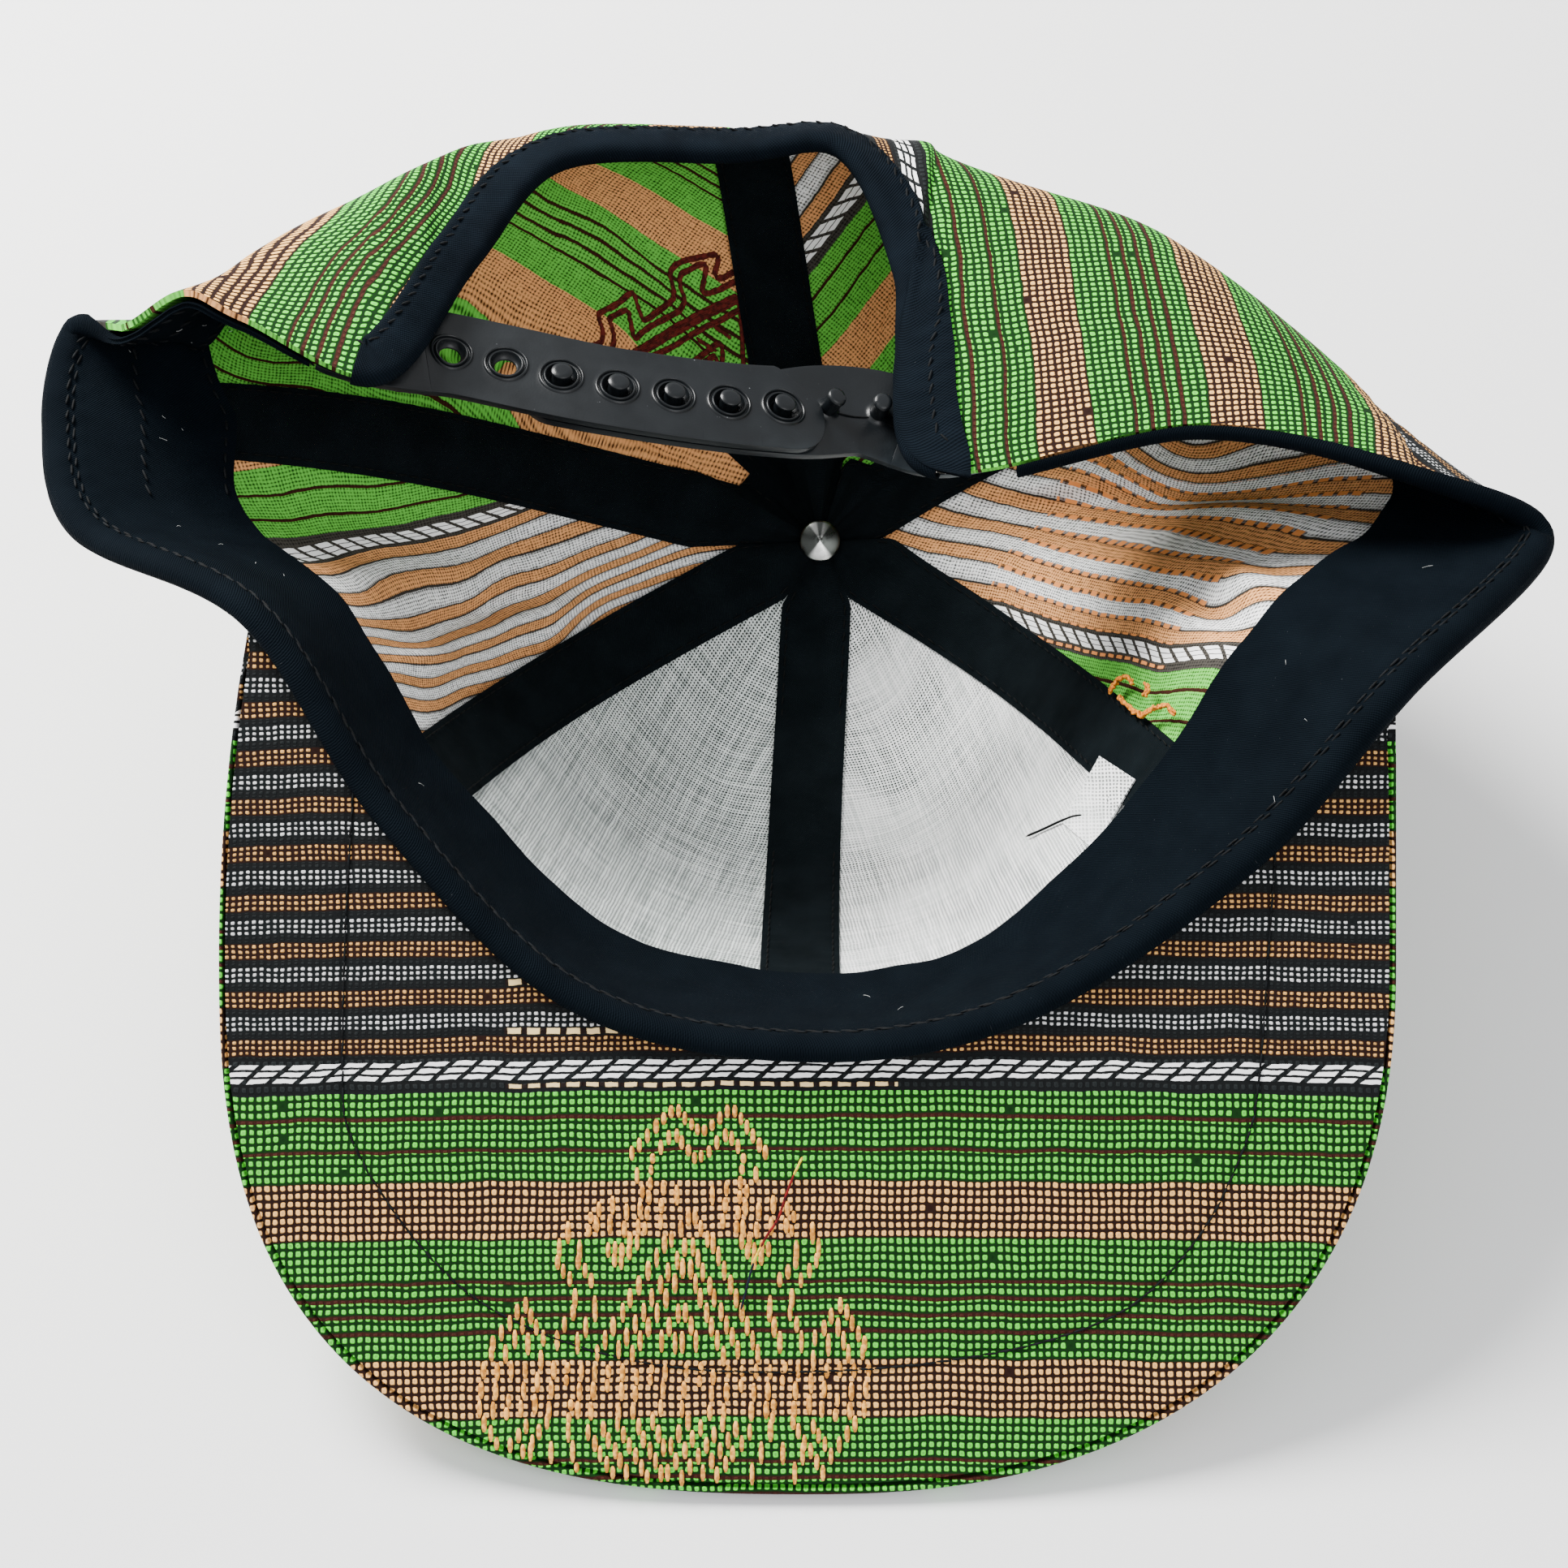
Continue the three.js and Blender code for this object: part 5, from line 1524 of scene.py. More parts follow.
def strap_border(half, ahead, behind, angles):
    """Boundary points of one pitch of strap at the given angles: square, or a rounded tip."""
    h = STRAP["pitch"] / 2
    x, y = np.cos(angles), np.sin(angles)
    square = np.minimum(h / np.maximum(np.abs(x), 1e-9), half / np.maximum(np.abs(y), 1e-9))
    reach = STRAP["end"] * (1 - np.abs(y) * np.where(y < 0, *STRAP["cut"]))
    tip = 1 / np.hypot(x / reach, y / half)
    rounded = np.where(((x > 0) & ahead) | ((x < 0) & behind), tip, square)
    return np.stack([x * rounded, y * rounded], 1)


def corner_angles(half, count=48):
    """Angles round a hole that include the four corners of a pitch of strap."""
    corner = math.atan2(half, STRAP["pitch"] / 2)
    marks = [-corner, corner, math.pi - corner, math.pi + corner, 2 * math.pi - corner]
    angles = []
    for a, b in zip(marks, marks[1:]):
        angles.append(np.linspace(a, b, max(4, round(count * (b - a) / (2 * math.pi))), endpoint=False))
    return np.concatenate(angles)


def strap_cells(cells, section, closed, half):
    """Flat mesh of strap cells: vertices (l, w, lift) and quads."""
    angles = corner_angles(half)
    count = len(angles)
    order = np.arange(count)
    ahead_order = (order + 1) % count
    verts, faces, base = [], [], 0
    for l, ahead, behind, tall in cells:
        border = strap_border(half, ahead, behind, angles)
        rings = [np.stack([r * np.cos(angles), r * np.sin(angles), np.full(count, lift * tall)], 1)
                 for r, lift in section if r > 0]
        outer_r = section[-1][0]
        start = np.stack([outer_r * np.cos(angles), outer_r * np.sin(angles)], 1)
        rings += [at_height(start * (1 - f) + border * f, 0.0) for f in (0.35, 0.7, 0.9, 1.0)]
        for k, ring in enumerate(rings):
            verts.append(ring + np.array([l, 0, 0]))
            if k:
                a = base + (k - 1) * count + order
                b = base + (k - 1) * count + ahead_order
                faces.append(np.stack([a, a + count, b + count, b], 1))
        size = len(rings) * count
        if closed:
            verts.append(np.array([[l, 0, section[0][1] * tall]]))
            a, b = base + order, base + ahead_order
            faces.append(np.stack([np.full(count, base + size), a, b, b], 1))
            size += 1
        base += size
    return np.concatenate(verts), np.concatenate(faces)


def strap_half(name, node_name, place, base, cells, section, closed, run, half):
    """One strap half: its cells and its plain run, thickened, with softly rounded long edges."""
    flat, quads = strap_cells(cells, section, closed, half)
    steps = max(2, int(abs(run[1] - run[0]) / 1.2))
    ls = np.linspace(run[0], run[1], steps + 1)
    ws = np.linspace(-half, half, 19)
    grid = np.stack(np.meshgrid(ls, ws, indexing="ij"), -1).reshape(-1, 2)
    quads = np.concatenate([quads, grid_faces(len(ls), len(ws)) + len(flat)])
    flat = np.concatenate([flat, at_height(grid, 0.0)])
    # The quads in the middle of a peg have one corner twice.
    cells_mesh = new_mesh(name, flat.tolist(), [list(dict.fromkeys(q)) for q in quads.tolist()])
    piece = linked(name, cells_mesh)
    weld = piece.modifiers.new("weld", "WELD")
    weld.merge_threshold = 0.02
    welded = baked(piece)
    bpy.data.objects.remove(piece)
    flat = np.array([v.co[:] for v in welded.vertices])
    faces = [list(p.vertices) for p in welded.polygons]
    edges = dict.fromkeys(pair for face in faces for pair in zip(face, face[1:] + face[:1]))
    rim = [(a, b) for a, b in edges if (b, a) not in edges]
    top = place(flat[:, 0], flat[:, 1], base + STRAP["thickness"] + flat[:, 2])
    bottom = place(flat[:, 0], flat[:, 1], np.full(len(flat), base))
    n = len(flat)
    all_faces = faces + [[k + n for k in reversed(face)] for face in faces]
    all_faces += [[b, a, a + n, b + n] for a, b in rim]
    verts = np.concatenate([top, bottom])
    mesh = new_mesh(name, verts.tolist(), all_faces, FINISH["plastic"])
    mesh.update()
    piece = linked(name, mesh)
    tidy_mesh(piece, STRAP["edge_round"])
    return place_piece(piece, [node_name])


def tidy_mesh(piece, bevel):
    """Bevels the sharp edges, applies, and points every face outward."""
    soft = piece.modifiers.new("soft_edge", "BEVEL")
    soft.width = bevel * MM
    soft.segments = 3
    soft.limit_method = "ANGLE"
    soft.angle_limit = math.radians(55)
    soft.use_clamp_overlap = True
    made = baked(piece)
    piece.modifiers.clear()
    piece.data = made
    work = bmesh.new()
    work.from_mesh(made)
    bmesh.ops.recalc_face_normals(work, faces=work.faces)
    work.to_mesh(made)
    work.free()
    smooth_shaded(made, 40)


def snap_strap():
    place, left, right = strap_frame()
    half = STRAP["width"] / 2
    pitch, holes, pegs = STRAP["pitch"], STRAP["holes"], STRAP["pegs"]
    first_peg = (holes - STRAP["plugged"]) * pitch
    hole_cells = [(k * pitch, k == holes - 1, False, 1) for k in range(holes)]
    # Pegs that stand in holes are pressed in, and show less of themselves than the free ones.
    peg_cells = [(first_peg + k * pitch, False, k == 0, 0.74 if k < STRAP["plugged"] else 1.05)
                 for k in range(pegs)]
    strap_half("hole_strap", "strap_with_holes", place, STRAP["gap"] / 2, hole_cells, HOLE_SECTION,
               False, (left, -pitch / 2), half)
    strap_half("peg_strap", "strap_with_pegs", place, -STRAP["gap"] / 2 - STRAP["thickness"],
               peg_cells, PEG_SECTION, True, (first_peg + (pegs - 0.5) * pitch, right), half)


# Radius and height of the button outside, and of the rivet inside.
BUTTON_SECTION = ((0, -0.3), (1.6, -0.3), (6.4, -0.3), (6.9, -0.7), (7, -1.2), (6.7, -2.2), (6, -3.1),
                  (4.9, -3.9), (3.4, -4.5), (1.7, -4.85), (0, -4.9))
RIVET_SECTION = ((0, 0), (3.3, 0), (3.75, 0.15), (3.9, 0.4), (3.8, 0.6), (3.5, 0.75), (2.9, 0.95),
                 (2.2, 1.15), (1.4, 1.33), (0.75, 1.43), (0.5, 1.4), (0.3, 1.5), (0, 1.52))


def turned_piece(name, node_name, base, section, material, turns=64):
    """A piece turned about the button's axis from radius and height points."""
    section = np.asarray(section, float)
    angles = np.linspace(0, 2 * math.pi, turns, endpoint=False)
    r, h = section[1:-1, 0], section[1:-1, 1]
    ring = np.stack([np.outer(np.cos(angles), r), np.outer(np.sin(angles), r),
                     np.tile(h, (turns, 1))], -1)
    verts = np.concatenate([ring.reshape(-1, 3), [[0, 0, section[0, 1]], [0, 0, section[-1, 1]]]])
    quads = grid_faces(turns, len(r), closed=True)
    m = len(r)
    k = np.arange(turns)
    ahead = (k + 1) % turns
    first, last = turns * m, turns * m + 1
    caps = [[first, b * m, a * m] for a, b in zip(k, ahead)]
    caps += [[last, a * m + m - 1, b * m + m - 1] for a, b in zip(k, ahead)]
    points = rest(verts + BUTTON + np.array([0, 0, base]))
    mesh = new_mesh(name, points.tolist(), quads.tolist() + caps, material)
    layer = mesh.uv_layers.new(name="weave")
    flat = verts[:, :2]
    for loop in mesh.loops:
        layer.data[loop.index].uv = flat[loop.vertex_index] + (RIVET_UV, 0.0)
    piece = linked(name, mesh)
    tidy_mesh(piece, 0.02)
    return place_piece(piece, [node_name])


# Stitches.


def bar_nodes(tree):
    """A short bar of thread along Z with rounded ends, one unit in radius and half length."""
    bar = node(tree, "GeometryNodeMeshCylinder", Vertices=6, Side_Segments=4, Radius=1.0, Depth=2.0)
    place = node(tree, "GeometryNodeInputPosition")
    narrow = node(tree, "ShaderNodeSeparateXYZ", outputs="Z", Vector=place).math("POWER", 6.0) * -0.5 + 1.0
    scale = node(tree, "ShaderNodeCombineXYZ", X=narrow, Y=narrow, Z=1.0)
    shaped = node(tree, "ShaderNodeVectorMath", settings={"operation": "MULTIPLY"}, ports=(place, scale))
    return node(tree, "GeometryNodeSetPosition", Geometry=bar, Position=shaped)


def turn_nodes(tree, x, y=None):
    turn = node(tree, "ShaderNodeCombineXYZ", X=x, Y=y)
    return node(tree, "FunctionNodeEulerToRotation", ports=(turn,))


def thread_tree(name, values):
    """An empty geometry node group from a line or spots to threads, and its inputs by name."""
    return new_group(name, [
        ("Line", "NodeSocketGeometry", None),
        *[(title, "NodeSocketFloat", value) for title, value in values.items()],
        ("Thread", "NodeSocketMaterial", None)], [("Threads", "NodeSocketGeometry")], "GeometryNodeTree")


def lay_threads(tree, given, points, size, turn):
    """Closes a thread group with a bar of the given size and turn at each point."""
    placed = node(tree, "GeometryNodeInstanceOnPoints", Points=points, Instance=bar_nodes(tree),
                  Scale=size, Rotation=turn)
    real = node(tree, "GeometryNodeRealizeInstances", Geometry=placed)
    smooth = node(tree, "GeometryNodeSetShadeSmooth", ports=(real,))
    painted = node(tree, "GeometryNodeSetMaterial", Geometry=smooth, Material=given["Thread"])
    return close_group(tree, Threads=painted)


def stitch_tree():
    """Geometry nodes: thread stitches laid end to end along a line of edges."""
    tree, given = thread_tree("stitch_run", {
        "Spacing": 2.6 * MM, "Length": 2.1 * MM, "Radius": 0.2 * MM, "Slant": 0.12})
    curve = node(tree, "GeometryNodeMeshToCurve", Mesh=given["Line"])
    points, way = node(tree, "GeometryNodeCurveToPoints", outputs=("Points", "Rotation"),
                       settings={"mode": "LENGTH"}, Curve=curve, Length=given["Spacing"])
    size = node(tree, "ShaderNodeCombineXYZ", X=given["Radius"], Y=given["Radius"],
                Z=given["Length"] * 0.5)
    jitter = node(tree, "FunctionNodeRandomValue", outputs=1, settings={"data_type": "FLOAT"},
                  ports=(None, None, -0.05, 0.05), Seed=3)
    slant = given["Slant"] + jitter
    turn = node(tree, "FunctionNodeRotateRotation", settings={"rotation_space": "LOCAL"},
                Rotation=way, Rotate_By=turn_nodes(tree, slant, slant))
    return lay_threads(tree, given, points, size, turn)


def float_tree():
    """Geometry nodes: a bar of thread at each spot, with its own size, turned down the cloth."""
    tree, given = thread_tree("woven_floats", {"Turn": LEAN - math.pi / 2})
    own = node(tree, "GeometryNodeInputNamedAttribute", outputs="Attribute",
               settings={"data_type": "FLOAT_VECTOR"}, Name="size")
    return lay_threads(tree, given, given["Line"], own, turn_nodes(tree, given["Turn"]))


def stitch_run(name, lines, tree, thread="black_thread"):
    """One piece of stitches along the given lines of part-frame points, in metres."""
    verts = np.concatenate(lines)
    edges, start = [], 0
    for line in lines:
        edges += [(start + k, start + k + 1) for k in range(len(line) - 1)]
        start += len(line)
    mesh = new_mesh(name, verts.tolist(), [], edges=edges)
    run = STITCHES[name]
    values = {key.title(): run[key] * MM for key in ("spacing", "length", "radius")}
    values.update(Slant=run["slant"], Thread=FINISH[thread])
    return grown_threads(name, mesh, tree, values)


def grown_threads(name, mesh, tree, values):
    """Runs a thread group on a mesh and keeps the result as a plain piece."""
    piece = linked(name, mesh)
    layer = piece.modifiers.new("threads", "NODES")
    layer.node_group = tree
    ports = {item.name: item.identifier for item in tree.interface.items_tree
             if item.in_out == "INPUT"}
    for title, value in values.items():
        layer[ports[title]] = value
    made = baked(piece)
    piece.modifiers.clear()
    piece.data = made
    return place_piece(piece, ())


def wall_line(us, s, depth):
    """A line at u, s and depth as part-frame points."""
    u = np.asarray(us, float)
    s = np.broadcast_to(np.asarray(s, float), u.shape)
    depth = np.broadcast_to(np.asarray(depth, float), u.shape)
    return rest(in_wall(u, s[:, None], depth[:, None])[:, 0], 0)


# Loose threads.


def strand(path, radius, sides=6, depth=1.0):
    """Vertices and faces of a thin strand along part-frame millimetres; depth flattens it."""
    path = smoothed(path, max(12, len(path) * 7))
    ahead = np.gradient(path, axis=0)
    ahead /= np.linalg.norm(ahead, axis=1)[:, None]
    toward = turned(np.array([0, 0, 1.0]))
    side = np.cross(ahead, toward + np.array([0.01, 0.02, 0]))
    side /= np.linalg.norm(side, axis=1)[:, None]
    up = np.cross(side, ahead) * depth
    angles = np.linspace(0, 2 * math.pi, sides, endpoint=False)
    n = len(path)
    order = np.arange(n)
    r = radius * np.minimum(1, np.minimum(order, order[::-1]) / 2 + 0.3)
    ring = (path[:, None] + r[:, None, None] * (np.cos(angles)[None, :, None] * side[:, None]
                                                + np.sin(angles)[None, :, None] * up[:, None]))
    k, j = np.meshgrid(np.arange(n - 1), np.arange(sides), indexing="ij")
    a, b = (k * sides + j).ravel(), (k * sides + (j + 1) % sides).ravel()
    faces = np.stack([a, b, b + sides, a + sides], 1).tolist()
    faces += [list(range(sides))[::-1], [(n - 1) * sides + j for j in range(sides)]]
    return ring.reshape(-1, 3) * MM, faces


def strands(name, paths, radius, material, sides=6, depth=1.0):
    """One piece of several thin strands."""
    verts, faces = [], []
    for path in paths:
        start = sum(len(v) for v in verts)
        some, around = strand(path, radius, sides, depth)
        verts.append(some)
        faces += [[k + start for k in face] for face in around]
    mesh = new_mesh(name, np.concatenate(verts).tolist(), faces, FINISH[material])
    smooth_shaded(mesh)
    return place_piece(linked(name, mesh), ())


def from_cap(points):
    """Cap-frame millimetres to part-frame millimetres."""
    return rest(np.asarray(points, float)) / MM


def on_wall(places):
    """Part-frame millimetres of (row, length, depth) places in the crown's wall."""
    return wall_line(*np.asarray(places, float).T) / MM


# The woven motif on the peak. Each stroke is half of a figure: millimetres right of the axis, and
# down from its top. All are mirrored about the axis, which leans with the cloth.
MOTIF = {"x": -16.6, "y": -51.4, "lean": -0.106, "column": 1.12, "radius": 0.42, "longest": 3.6,
         "bottom": 62.0}
MOTIF_STROKES = (
    ((0, 4.5), (2.1, 2.8), (4.4, 0.3), (6.4, 2.3), (10.8, 7.9), (10.2, 10.1), (8.6, 12.5)),
    ((0, 8.8), (2, 7), (4.3, 4.3), (6.9, 7.6), (7.2, 11.3)),
    ((8.6, 12.5), (9.0, 15), (8.4, 21)), ((7.2, 11.3), (7.0, 16), (6.6, 20.8)),
    ((5.1, 12), (4.9, 20)), ((3.0, 12.5), (2.9, 16)), ((10.6, 15.5), (10.4, 21.4)),
    ((12.6, 14.4), (12.2, 20.8)), ((14.6, 15.2), (14.6, 20.5)), ((16.8, 16.8), (16.4, 21)),
    ((19.0, 18.2), (19.7, 20.8), (21.3, 24.2), (17.4, 29.3), (17.0, 32.7), (19.2, 36), (20.2, 40.2)),
    ((17.0, 21.2), (17.6, 24.8), (14.6, 28.7), (13.9, 32.7), (15.4, 36), (17.2, 40.4)),
    ((13.9, 21.6), (11, 25.6), (8.3, 21.6)), ((12.4, 22), (11, 23.8), (9.4, 21.4)),
    ((0, 17.2), (3.1, 22)), ((0, 21.5), (10.5, 41)), ((0, 25), (7.8, 41)), ((3.2, 20.6), (13.5, 41)),
    ((0, 32.1), (2.6, 37.2), (3.8, 40.5)), ((0, 36.6), (1.5, 40.5)),
    ((25.4, 31.8), (21.2, 38.2)), ((25.4, 31.8), (29.8, 38.3), (30.4, 41)),
    ((25.2, 35.4), (27.6, 40)), ((25.2, 35.4), (23.4, 40)),
    ((30.6, 41), (30.2, 50)), ((28.4, 41), (28.2, 50.4)), ((26.2, 40.6), (25.8, 44)),
    ((26, 46), (25.6, 50.6)), ((23.6, 41), (23.8, 50)), ((21.4, 39), (21.6, 49.6)),
    ((19.2, 40.8), (19.4, 50.4)), ((17.2, 41), (16.8, 45)), ((17, 47), (16.4, 51)),
    ((14.6, 41), (14.8, 50.4)), ((12.4, 41), (12.4, 50.6)), ((10.2, 41.4), (10.3, 46)),
    ((8.0, 41), (8.2, 50.6)), ((5.9, 42), (5.8, 50.4)), ((3.7, 41), (3.5, 45)), ((1.6, 41), (1.5, 50)),
    ((5.6, 50.6), (0, 59.8)), ((2.9, 50.4), (0, 55.6)), ((14.0, 50.6), (8.0, 59.8)),
    ((11.4, 50.6), (5.6, 59.6)), ((8.6, 50.6), (2.8, 59.6)), ((16.6, 51), (13.8, 59.4)),
    ((19.6, 50.6), (25.3, 58.8)), ((22.4, 50.6), (25.4, 54.6)), ((30.0, 50.4), (25.6, 57.2)),
    ((19.4, 51), (18.0, 58)), ((22.6, 54), (20.6, 59)),
)


def motif_floats():
    """Spots and sizes of the motif's floats: columns of short threads down the cloth."""
    pitch, longest = MOTIF["column"], MOTIF["longest"]
    found = {}

    def add(column, middle, length):
        key = (column, round(middle / 0.9))
        if key not in found and middle + length / 2 < MOTIF["bottom"]:
            found[key] = ((column + 0.5) * pitch, middle, length)

    for stroke in MOTIF_STROKES:
        for (x0, y0), (x1, y1) in zip(stroke, stroke[1:]):
            low, high = sorted((x0, x1))
            columns = range(math.ceil(low / pitch - 0.5), math.floor(high / pitch - 0.5) + 1)
            steep = abs(y1 - y0) / max(high - low, 1e-6)
            if len(columns) and steep < 6:
                for column in columns:
                    part = ((column + 0.5) * pitch - x0) / (x1 - x0)
                    add(column, y0 + (y1 - y0) * part, min(longest, max(1.5, steep * pitch + 0.9)))
                continue
            column = round((low + high) / 2 / pitch - 0.5)
            runs = max(1, math.ceil(abs(y1 - y0) / longest))
            for k in range(runs):
                add(column, y0 + (y1 - y0) * (k + 0.5) / runs, abs(y1 - y0) / runs - 0.25)
    return list(found.values())


def woven_motif(tree):
    rng = np.random.default_rng(8)
    spots, sizes = [], []
    for side in (-1, 1):
        for x, y, length in motif_floats():
            place_x = MOTIF["x"] + side * x + MOTIF["lean"] * y + rng.uniform(-0.12, 0.12)
            place_y = MOTIF["y"] - y + rng.uniform(-0.15, 0.15)
            power = PEAK_ROUNDNESS["left" if place_x < 0 else "right"]
            round_edge = (1 - (abs(place_x) / PEAK["half_width"]) ** power) ** (1 / power)
            edge = PEAK["middle_y"] - PEAK["reach"] * round_edge + 1.0
            if place_y - length / 2 < edge:
                length = place_y + length / 2 - edge
                place_y = edge + length / 2
                if length < 0.9:
                    continue
            spots.append((place_x, place_y))
            sizes.append((MOTIF["radius"] * rng.uniform(0.85, 1.1), 0.2, length / 2))
    spots = np.array(spots)
    points = rest(at_height(spots, peak_height(spots[:, 0], spots[:, 1]) + 0.12))
    mesh = new_mesh("woven_motif", points.tolist(), [])
    own = mesh.attributes.new("size", "FLOAT_VECTOR", "POINT")
    own.data.foreach_set("vector", (np.array(sizes) * MM).astype(np.float32).ravel())
    grown_threads("woven_motif", mesh, tree, {"Thread": FINISH["gold_thread"]})


# Runs of stitches in millimetres: from one to the next, length and radius of each, and their slant.
STITCHES = {
    "peak_stitches": {"spacing": 2.5, "length": 2.45, "radius": 0.2, "slant": 0.04},
    "band_stitches": {"spacing": 2.8, "length": 2.3, "radius": 0.22, "slant": 0.2},
    "binding_stitches": {"spacing": 2.6, "length": 2.1, "radius": 0.24, "slant": 0.28},
    "tape_stitches": {"spacing": 2.6, "length": 1.9, "radius": 0.14, "slant": 0.1},
}
# Rows of stitches on the sweatband, length in from the edge and depth; the last two are short.
BAND_ROWS = ((1.5, 3.12), (2.5, 3.02))
SHORT_BAND_ROWS = ((28.2, 4.15), (14, 3.15))
SHORT_ROWS_LIE = (3.7, 8.8)
BINDING_DEPTHS = (-1.22, 2.58)


def all_stitches():
    tree = stitch_tree()
    line = smoothed(PEAK_STITCH, 500)
    height = peak_height(line[:, 0], line[:, 1]) + 0.16
    stitch_run("peak_stitches", [rest(at_height(line, height))], tree)
    us = band_columns(2.0)
    lines = [wall_line(us, w, depth) for w, depth in BAND_ROWS]
    part = us[(us > SHORT_ROWS_LIE[0]) & (us < SHORT_ROWS_LIE[1])]
    lines += [wall_line(part, w * band_narrowing(part), depth) for w, depth in SHORT_BAND_ROWS]
    stitch_run("band_stitches", lines, tree)
    us = binding_columns(1.5)
    u, s = march_from_edge(us, [BINDING_STITCH])[BINDING_STITCH]
    lines = [wall_line(u, s, depth) for depth in BINDING_DEPTHS]
    stitch_run("binding_stitches", lines, tree)
    lines = []
    for _, seam, before, after, depth, start in TAPES:
        us, s, shares = tape_surface(seam, before, after, start)
        for k in (1, len(shares) - 2):
            flat = np.full((1, s.shape[1] - 8), depth + TAPE_T)
            lines.append(rest(on_grid(us[k:k + 1, :-8], s[k:k + 1, :-8], flat)[0]))
    stitch_run("tape_stitches", lines, tree, "dark_thread")


# Loose ends of thread on the peak: piece, material, points in the cap frame.
LOOSE_ENDS = (
    ("loose_end_top", "yellow_thread", ((-0.8, -59.6, 0.6), (-1.5, -61.0, 0.8), (-2.2, -62.5, 0.7))),
    ("loose_end_red", "crimson_thread", ((-2.2, -62.4, 0.7), (-3.6, -66.1, 1.0), (-4.7, -69.4, 1.1),
                                         (-6.4, -72.0, 0.9), (-7.5, -74.1, 0.6))),
    ("loose_end_tuft", "yellow_thread", ((-7.4, -73.9, 0.6), (-8.1, -75.2, 0.8), (-8.7, -76.6, 0.6))),
    ("loose_end_navy", "navy_thread", ((-8.6, -76.4, 0.6), (-9.3, -78.8, 0.8), (-9.9, -81.2, 0.7),
                                       (-10.7, -84.1, 0.4))),
)
# The motif's back, seen through the arch.
BACK_MOTIF = (
    ((150, 820), (225, 795), (240, 720), (212, 620), (225, 590), (330, 535), (440, 455), (470, 510),
     (500, 600), (530, 640), (640, 565), (725, 490), (722, 400), (705, 310), (770, 245), (900, 208),
     (1020, 190), (1032, 240), (1012, 330), (1060, 350), (1145, 308)),
    ((300, 850), (318, 770), (300, 680), (292, 630), (400, 572), (425, 620), (440, 700), (462, 765),
     (560, 690), (700, 615), (780, 560), (800, 490), (775, 410), (775, 335), (840, 290), (940, 252),
     (948, 310), (930, 400), (930, 455), (1020, 440), (1100, 400), (1155, 372)),
    ((420, 880), (560, 800), (720, 700), (900, 600), (1040, 530), (1170, 470)),
    ((450, 890), (590, 820), (750, 725), (930, 625), (1060, 560), (1180, 505)),
    ((560, 895), (700, 835), (900, 715), (1050, 640), (1190, 565)),
    ((850, 935), (950, 865), (1045, 800), (1065, 860), (1062, 960)),
    ((940, 935), (1010, 890), (1030, 930)),
    ((1170, 480), (1195, 640), (1200, 780), (1212, 965)), ((1232, 700), (1255, 850), (1300, 970)),
    ((890, 770), (1020, 850)), ((1000, 680), (1120, 760)),
)
ORANGE_FRAY = (
    ((868, 160), (885, 110), (930, 60), (990, 30), (1040, 50), (1062, 85)),
    ((950, 190), (985, 240), (1040, 290), (1085, 330), (1140, 352), (1200, 305), (1270, 280),
     (1335, 270), (1380, 300), (1410, 338)),
    ((1170, 85), (1185, 130), (1160, 190)),
)
SNIP = ((165, 1368), (300, 1310), (450, 1240), (560, 1200), (645, 1190))
# Bits of thread caught between the strap's halves: places along and across it.
STRAP_THREADS = (
    ((69.0, -1.0), (72.5, -1.6), (75.2, -1.2)), ((78.4, -1.4), (81.5, -2.2), (84.5, -3.6)),
    ((78.8, 0.2), (81.4, 0.5), (84.0, 0.9)),
)
# Specks of lint on the sweatband: how many, the rows and the lengths in from the edge they lie at.
LINT = {"count": 26, "rows": (4, 19.5), "in": (2, 24)}
# The stiffener's loose corner: its corners in the view, the last row it reaches, its depth in the
# wall at both ends, its thickness, and the points of its grid.
FLAP = {"corners": ((780, 690), (1078, 885), (700, 1450), (440, 1230)), "last": 15.9,
        "lift": (3.35, 2.5), "thick": 0.3, "grid": (16, 22)}


def on_inner_wall(view, points, first, last, depth):
    places = seen_on_wall(view, points, first, last, depth)
    return on_wall([(u, s, depth) for u, s in places])


def loose_threads():
    for name, material, points in LOOSE_ENDS:
        strands(name, [from_cap(points)], 0.2, material)
    snip = on_inner_wall("corner", SNIP, "front_centre", "front_right_seam", 2.6)
    strands("snip_on_buckram", [snip], 0.22, "dark_thread")
    rng = np.random.default_rng(11)
    frays = []
    for line in ORANGE_FRAY:
        middle = smoothed(line, len(line) * 4)
        for _ in range(4):
            loose = middle + rng.normal(0, 9, middle.shape)
            depth = 3.6 + rng.uniform(0, 0.7)
            frays.append(on_inner_wall("corner", loose, 14.0, "right_rear_seam", depth))
    strands("orange_fray", frays, 0.26, "orange_thread", sides=5)
    place = strap_frame()[0]
    paths = []
    for spots in STRAP_THREADS:
        l, w = np.array(spots).T
        paths.append(place(l, w, np.full(len(l), -0.02)) / MM)
    strands("strap_threads", paths, 0.14, "dark_thread")
    lint = []
    for _ in range(LINT["count"]):
        u, s, way = rng.uniform(*LINT["rows"]), rng.uniform(*LINT["in"]), rng.uniform(0, math.pi)
        reach = rng.uniform(0.2, 0.8)
        du, ds = 0.03 * reach * math.cos(way), reach * math.sin(way)
        lint.append(on_wall(((u - du, s - ds, 3.25), (u, s, 3.4), (u + du, s + ds + 0.2, 3.3))))
    strands("lint", lint, 0.03, "white_thread", sides=4)


